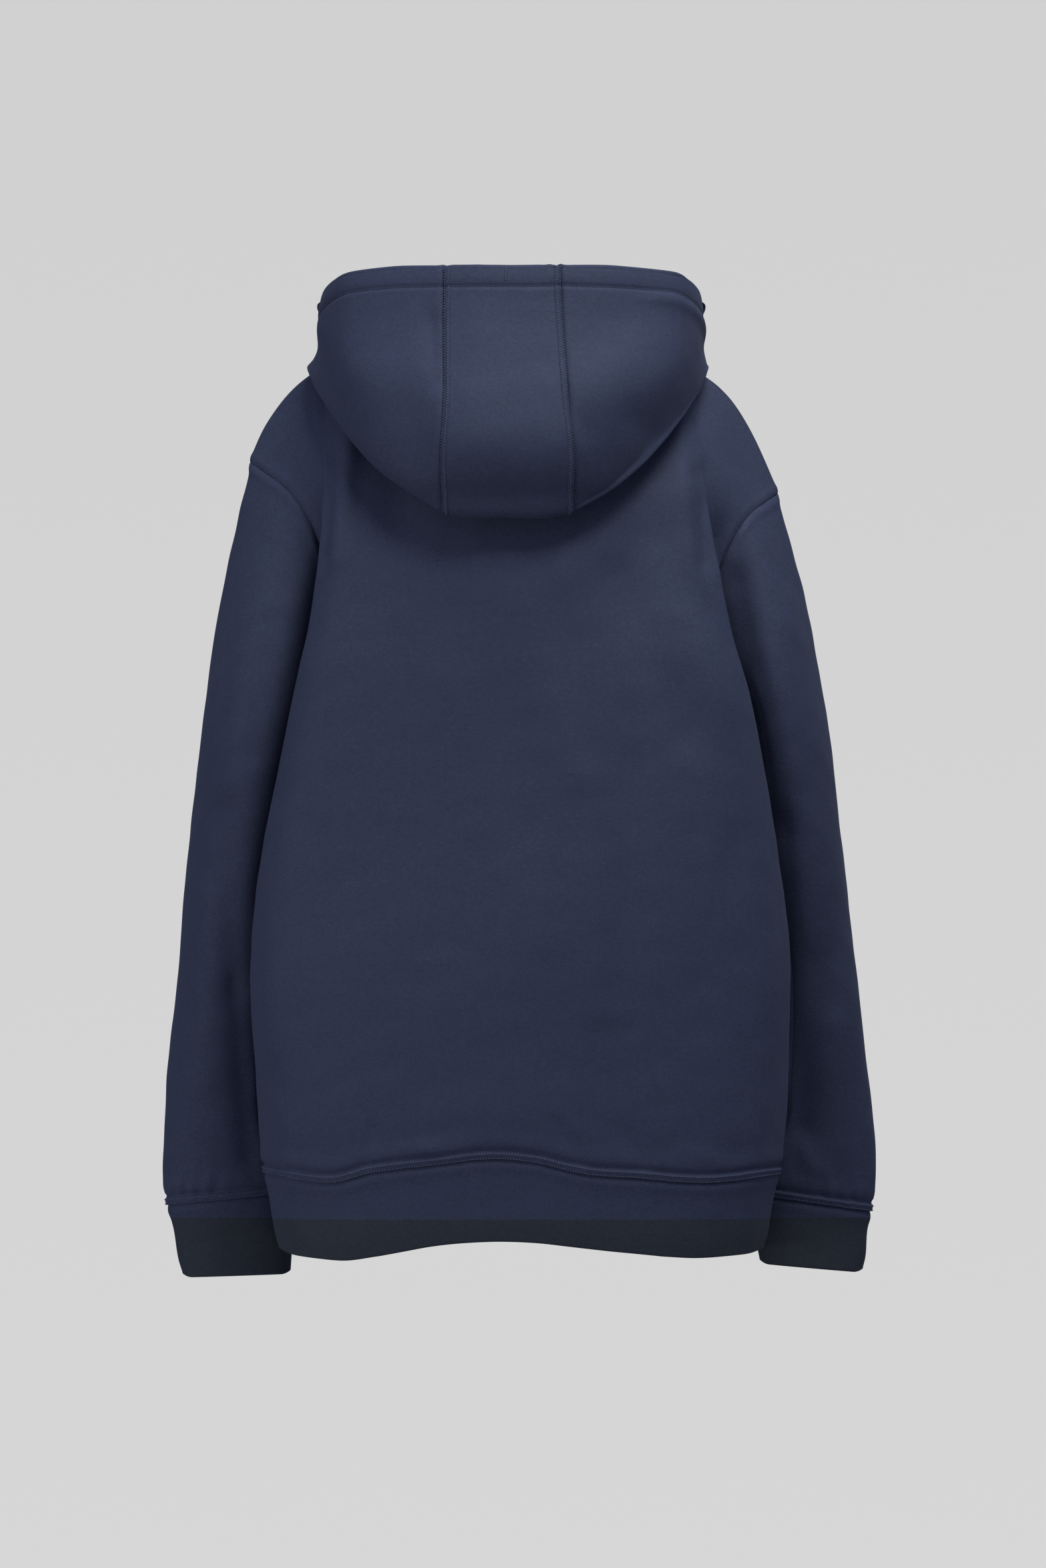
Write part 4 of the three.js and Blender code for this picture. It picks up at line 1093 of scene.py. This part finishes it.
def body_cloths(coarse_back, coarse_front):
    """Both body panels and the hem band as fine grids that share their seam lines."""
    rows = even(BODY_ROWS, FINER_ROWS)
    columns = even(2 * HALF_COLUMNS, FINER_COLUMNS)
    back, front = finer(coarse_back, rows, columns), finer(coarse_front, rows, columns)
    side = slice(0, ARMPIT + 1)
    for seam in ((side, 0), (side, -1), (-1, slice(0, NECK_FIRST + 1)), (-1, slice(NECK_LAST, None))):
        back[seam] = front[seam] = (back[seam] + front[seam]) / 2
    back, front = relaxed(back, 12), relaxed(front, 12)
    around = even(4 * HALF_COLUMNS, FINER_COLUMNS)[:-1]
    band = finer(hem_band(coarse_back, coarse_front), even(BAND_ROWS, FINER_BAND), around, True)
    band = relaxed(draw_to(band, -1, np.vstack([back[0], front[0, -2:0:-1]]), 6), 8, True)
    return back, front, band


def arm_cloths(side, coarse_loop, fine_loop, body):
    """A sleeve and its cuff as fine grids."""
    coarse = sleeve(side, coarse_loop, body)
    around = even(len(coarse_loop), FINER_ROWS)[:-1]
    arm = finer(coarse, even(SLEEVE_ROWS, FINER_SLEEVE), around, True)
    arm = relaxed(draw_to(arm, 0, fine_loop, 12), 12, True)
    hand = finer(cuff(side, coarse[-1]), even(CUFF_ROWS, FINER_CUFF), around, True)
    hand = relaxed(draw_to(hand, 0, arm[-1], 6), 4, True)
    arm = at_places(arm, crowded(len(arm) - 1), 0)
    return arm, at_places(hand, crowded(len(hand) - 1, final=False), 0)


def hood_cloths(coarse, back, front):
    """The hood's three pieces as fine grids, from the left side to the right, and its wall at each row."""
    last = len(coarse) - 1
    rows = np.concatenate([even(last - 2, FINER_HOOD)[:-1], last - 2 + even(2, FINER_CASING)])
    whole = finer(coarse, rows, even(4 * NECK_COLUMNS, FINER_COLUMNS))
    back_neck = back[-1, NECK_FIRST : NECK_LAST + 1]
    front_neck = front[-1, NECK_FIRST : NECK_LAST + 1]
    half = NECK_COLUMNS * FINER_COLUMNS
    neckline = np.vstack([front_neck[half::-1], back_neck[1:-1], front_neck[: half - 1 : -1]])
    whole = relaxed(draw_to(whole, 0, neckline, 8), 10)
    strip = STRIP_COLUMNS * FINER_COLUMNS
    ends = (0, 2 * half - strip, 2 * half + strip, 4 * half)
    parts = []
    for k, (first, end) in enumerate(zip(ends, ends[1:])):
        parts.append(at_places(whole[:, first : end + 1], crowded(end - first, k > 0, k < 2), 1))
    return parts, np.where(rows > last - 1, CASING, CLOTH)


def build():
    """All pieces of cloth by name, still without folds."""
    coarse_back, coarse_front = body_panel(PANELS["back"]), body_panel(PANELS["front"])
    body = Surface((coarse_back, 1), (coarse_front, -1))
    back, front, band = body_cloths(coarse_back, coarse_front)
    cloths = []
    for side, name in ((LEFT, "left"), (RIGHT, "right")):
        coarse_loop = armhole_loop(coarse_back, coarse_front, side, LOWER_ROWS)
        arm, hand = arm_cloths(side, coarse_loop, armhole_loop(back, front, side, ARMPIT), body)
        cloths.append(Cloth("sleeve_" + name, arm, "fleece", CLOTH, True, -side))
        cloths.append(Cloth("cuff_" + name, hand, "rib", RIB, True, -side, "last"))
    parts, wall = hood_cloths(hood(coarse_back, coarse_front, body), back, front)
    for name, part in zip(("left", "centre", "right"), parts):
        cloths.append(Cloth("hood_" + name, part, "fleece", wall, free="last"))
    last = 2 * HALF_COLUMNS * FINER_COLUMNS
    up, across = crowded(BODY_ROWS * FINER_ROWS, final=False), crowded(last)
    for name, panel, flip in (("back", back, 1), ("front", front, -1)):
        cloths.append(Cloth(name, finer(panel, up, across), "fleece", CLOTH, flip=flip))
    band = at_places(band, np.concatenate([across, 2 * last - across[-2:0:-1]]), 1, closed=True)
    band = at_places(band, crowded(BAND_ROWS * FINER_BAND, first=False), 0)
    cloths.append(Cloth("hem_band", band, "rib", RIB, True, 1, "first"))
    return {cloth.name: cloth for cloth in cloths}


def add_pieces(cloths, materials):
    """A closed mesh for each piece of cloth; its flat size is worked out but not kept."""
    for name, cloth in cloths.items():
        piece = shell(cloth, materials[cloth.slot])
        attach(piece, "root")
        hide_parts(name)
        across = lengths(cloth.grid, 1)[:, -1].max() * METRE
        if cloth.closed:
            across += METRE * np.linalg.norm(cloth.grid[:, 0] - cloth.grid[:, -1], axis=-1).max()
        along = lengths(cloth.grid, 0)[-1].max() * METRE


# Floor, air and lights, in millimetres for the floor and in metres for the lights
FLOOR, FLOOR_Z, FLOOR_TONE = 1000, -1150, (0.34, 0.36)
AIR_TONE = (0.675, 0.635)
AMBIENT, AMBIENT_TINT = (0.02, 0.28), (1.0, 1.1, 1.6)
HORIZON, AMBIENT_RISE = (-0.016, 0.016), (-0.5, 0.7)  # directions between which the tones change
WHITE = (1.0, 1.0, 1.0)
# Each light: name, place, what it faces, width and height, power, tint
LIGHTS = (
    ("key", (0.5, -1.3, 1.42), (0, 0, -0.15), (0.8, 0.6), 26, (1.0, 0.99, 0.92)),
    ("top", (0.3, -0.5, 1.9), (0, 0, -0.1), (0.9, 0.6), 16, WHITE),
    ("left", (-2.1, -1.4, -0.5), (-0.2, 0, -0.4), (0.8, 1.2), 18, WHITE),
    ("right", (2.3, -1.2, 0.3), (0.2, 0, -0.3), (0.8, 1.2), 4, WHITE),
    ("low", (0.0, -2.6, -1.3), (0, 0, -0.4), (1.4, 1.0), 3, WHITE),
    ("far", (0.0, 3.4, 1.8), (0, 0, -0.3), (2.0, 2.0), 26, WHITE),
)


def add_camera():
    """Straight at the back from far away, so that a pixel of the photo is the same size everywhere."""
    data = bpy.data.cameras.new("camera")
    camera = bpy.data.objects.new("camera", data)
    bpy.context.scene.collection.objects.link(camera)
    bpy.context.scene.camera = camera
    centre_x = (PHOTO_WIDTH / 2 - ORIGIN_PIXEL[0]) * MM_PER_PIXEL
    centre_z = (ORIGIN_PIXEL[1] - PHOTO_HEIGHT / 2) * MM_PER_PIXEL
    camera.location = (centre_x * METRE, -CAMERA_DISTANCE * METRE, centre_z * METRE)
    camera.rotation_euler = (np.pi / 2, 0, 0)
    data.sensor_width = SENSOR
    data.lens = SENSOR * (CAMERA_DISTANCE + BACK_PLANE_Y) / (PHOTO_HEIGHT * MM_PER_PIXEL)
    data.clip_end = 200


def add_light(name, location, target, size, power, tint):
    data = bpy.data.lights.new(name, "AREA")
    data.shape = "RECTANGLE"
    data.size, data.size_y = size
    data.energy = power
    data.color = tint
    light = bpy.data.objects.new(name, data)
    light.location = location
    light.rotation_euler = (Vector(target) - Vector(location)).to_track_quat("-Z", "Y").to_euler()
    bpy.context.scene.collection.objects.link(light)


def add_floor():
    material, tree, shader = new_material("paper")
    shader.inputs["Roughness"].default_value = 0.95
    grain = add_node(tree, "ShaderNodeTexNoise", {"Scale": 3.0, "Detail": 2.0})
    tree.links.new(mapped(tree, grain.outputs["Fac"], 0, 1, *FLOOR_TONE), shader.inputs["Base Color"])
    angles = np.arange(96) / 96 * 2 * np.pi
    disc = np.stack([FLOOR * np.cos(angles), FLOOR * np.sin(angles), np.full(96, FLOOR_Z)], axis=1)
    floor = add_mesh("floor", disc, [list(range(96))], material)


def add_air():
    """Pale air for the camera, and a soft light from all round that is stronger from above."""
    world = bpy.data.worlds.new("studio")
    world.use_nodes = True
    tree = world.node_tree
    way = tree.nodes.new("ShaderNodeTexCoord").outputs["Generated"]
    height = add_node(tree, "ShaderNodeSeparateXYZ", {"Vector": way}).outputs["Z"]
    seen = tree.nodes["Background"]
    seen.inputs["Color"].default_value = (*WHITE, 1)
    tree.links.new(mapped(tree, height, *HORIZON, *AIR_TONE), seen.inputs["Strength"])
    inputs = {"Color": (*AMBIENT_TINT, 1), "Strength": mapped(tree, height, *AMBIENT_RISE, *AMBIENT)}
    lit = add_node(tree, "ShaderNodeBackground", inputs)
    path = tree.nodes.new("ShaderNodeLightPath")
    inputs = {"Fac": path.outputs["Is Camera Ray"], 1: lit.outputs[0], 2: seen.outputs[0]}
    blend = add_node(tree, "ShaderNodeMixShader", inputs)
    tree.links.new(blend.outputs["Shader"], tree.nodes["World Output"].inputs["Surface"])
    bpy.context.scene.world = world


add_camera()
cloths = build()
sewn = sewn_points(cloths.values())
share_normals(sewn)
shape_cloths(cloths, sewn)
materials = {name: cloth_material(name, *knit) for name, knit in KNITS.items()}
add_pieces(cloths, materials)
add_seams(cloths, materials)
add_floor()
add_air()
for light in LIGHTS:
    add_light(*light)
bpy.context.scene.view_settings.view_transform = "Standard"
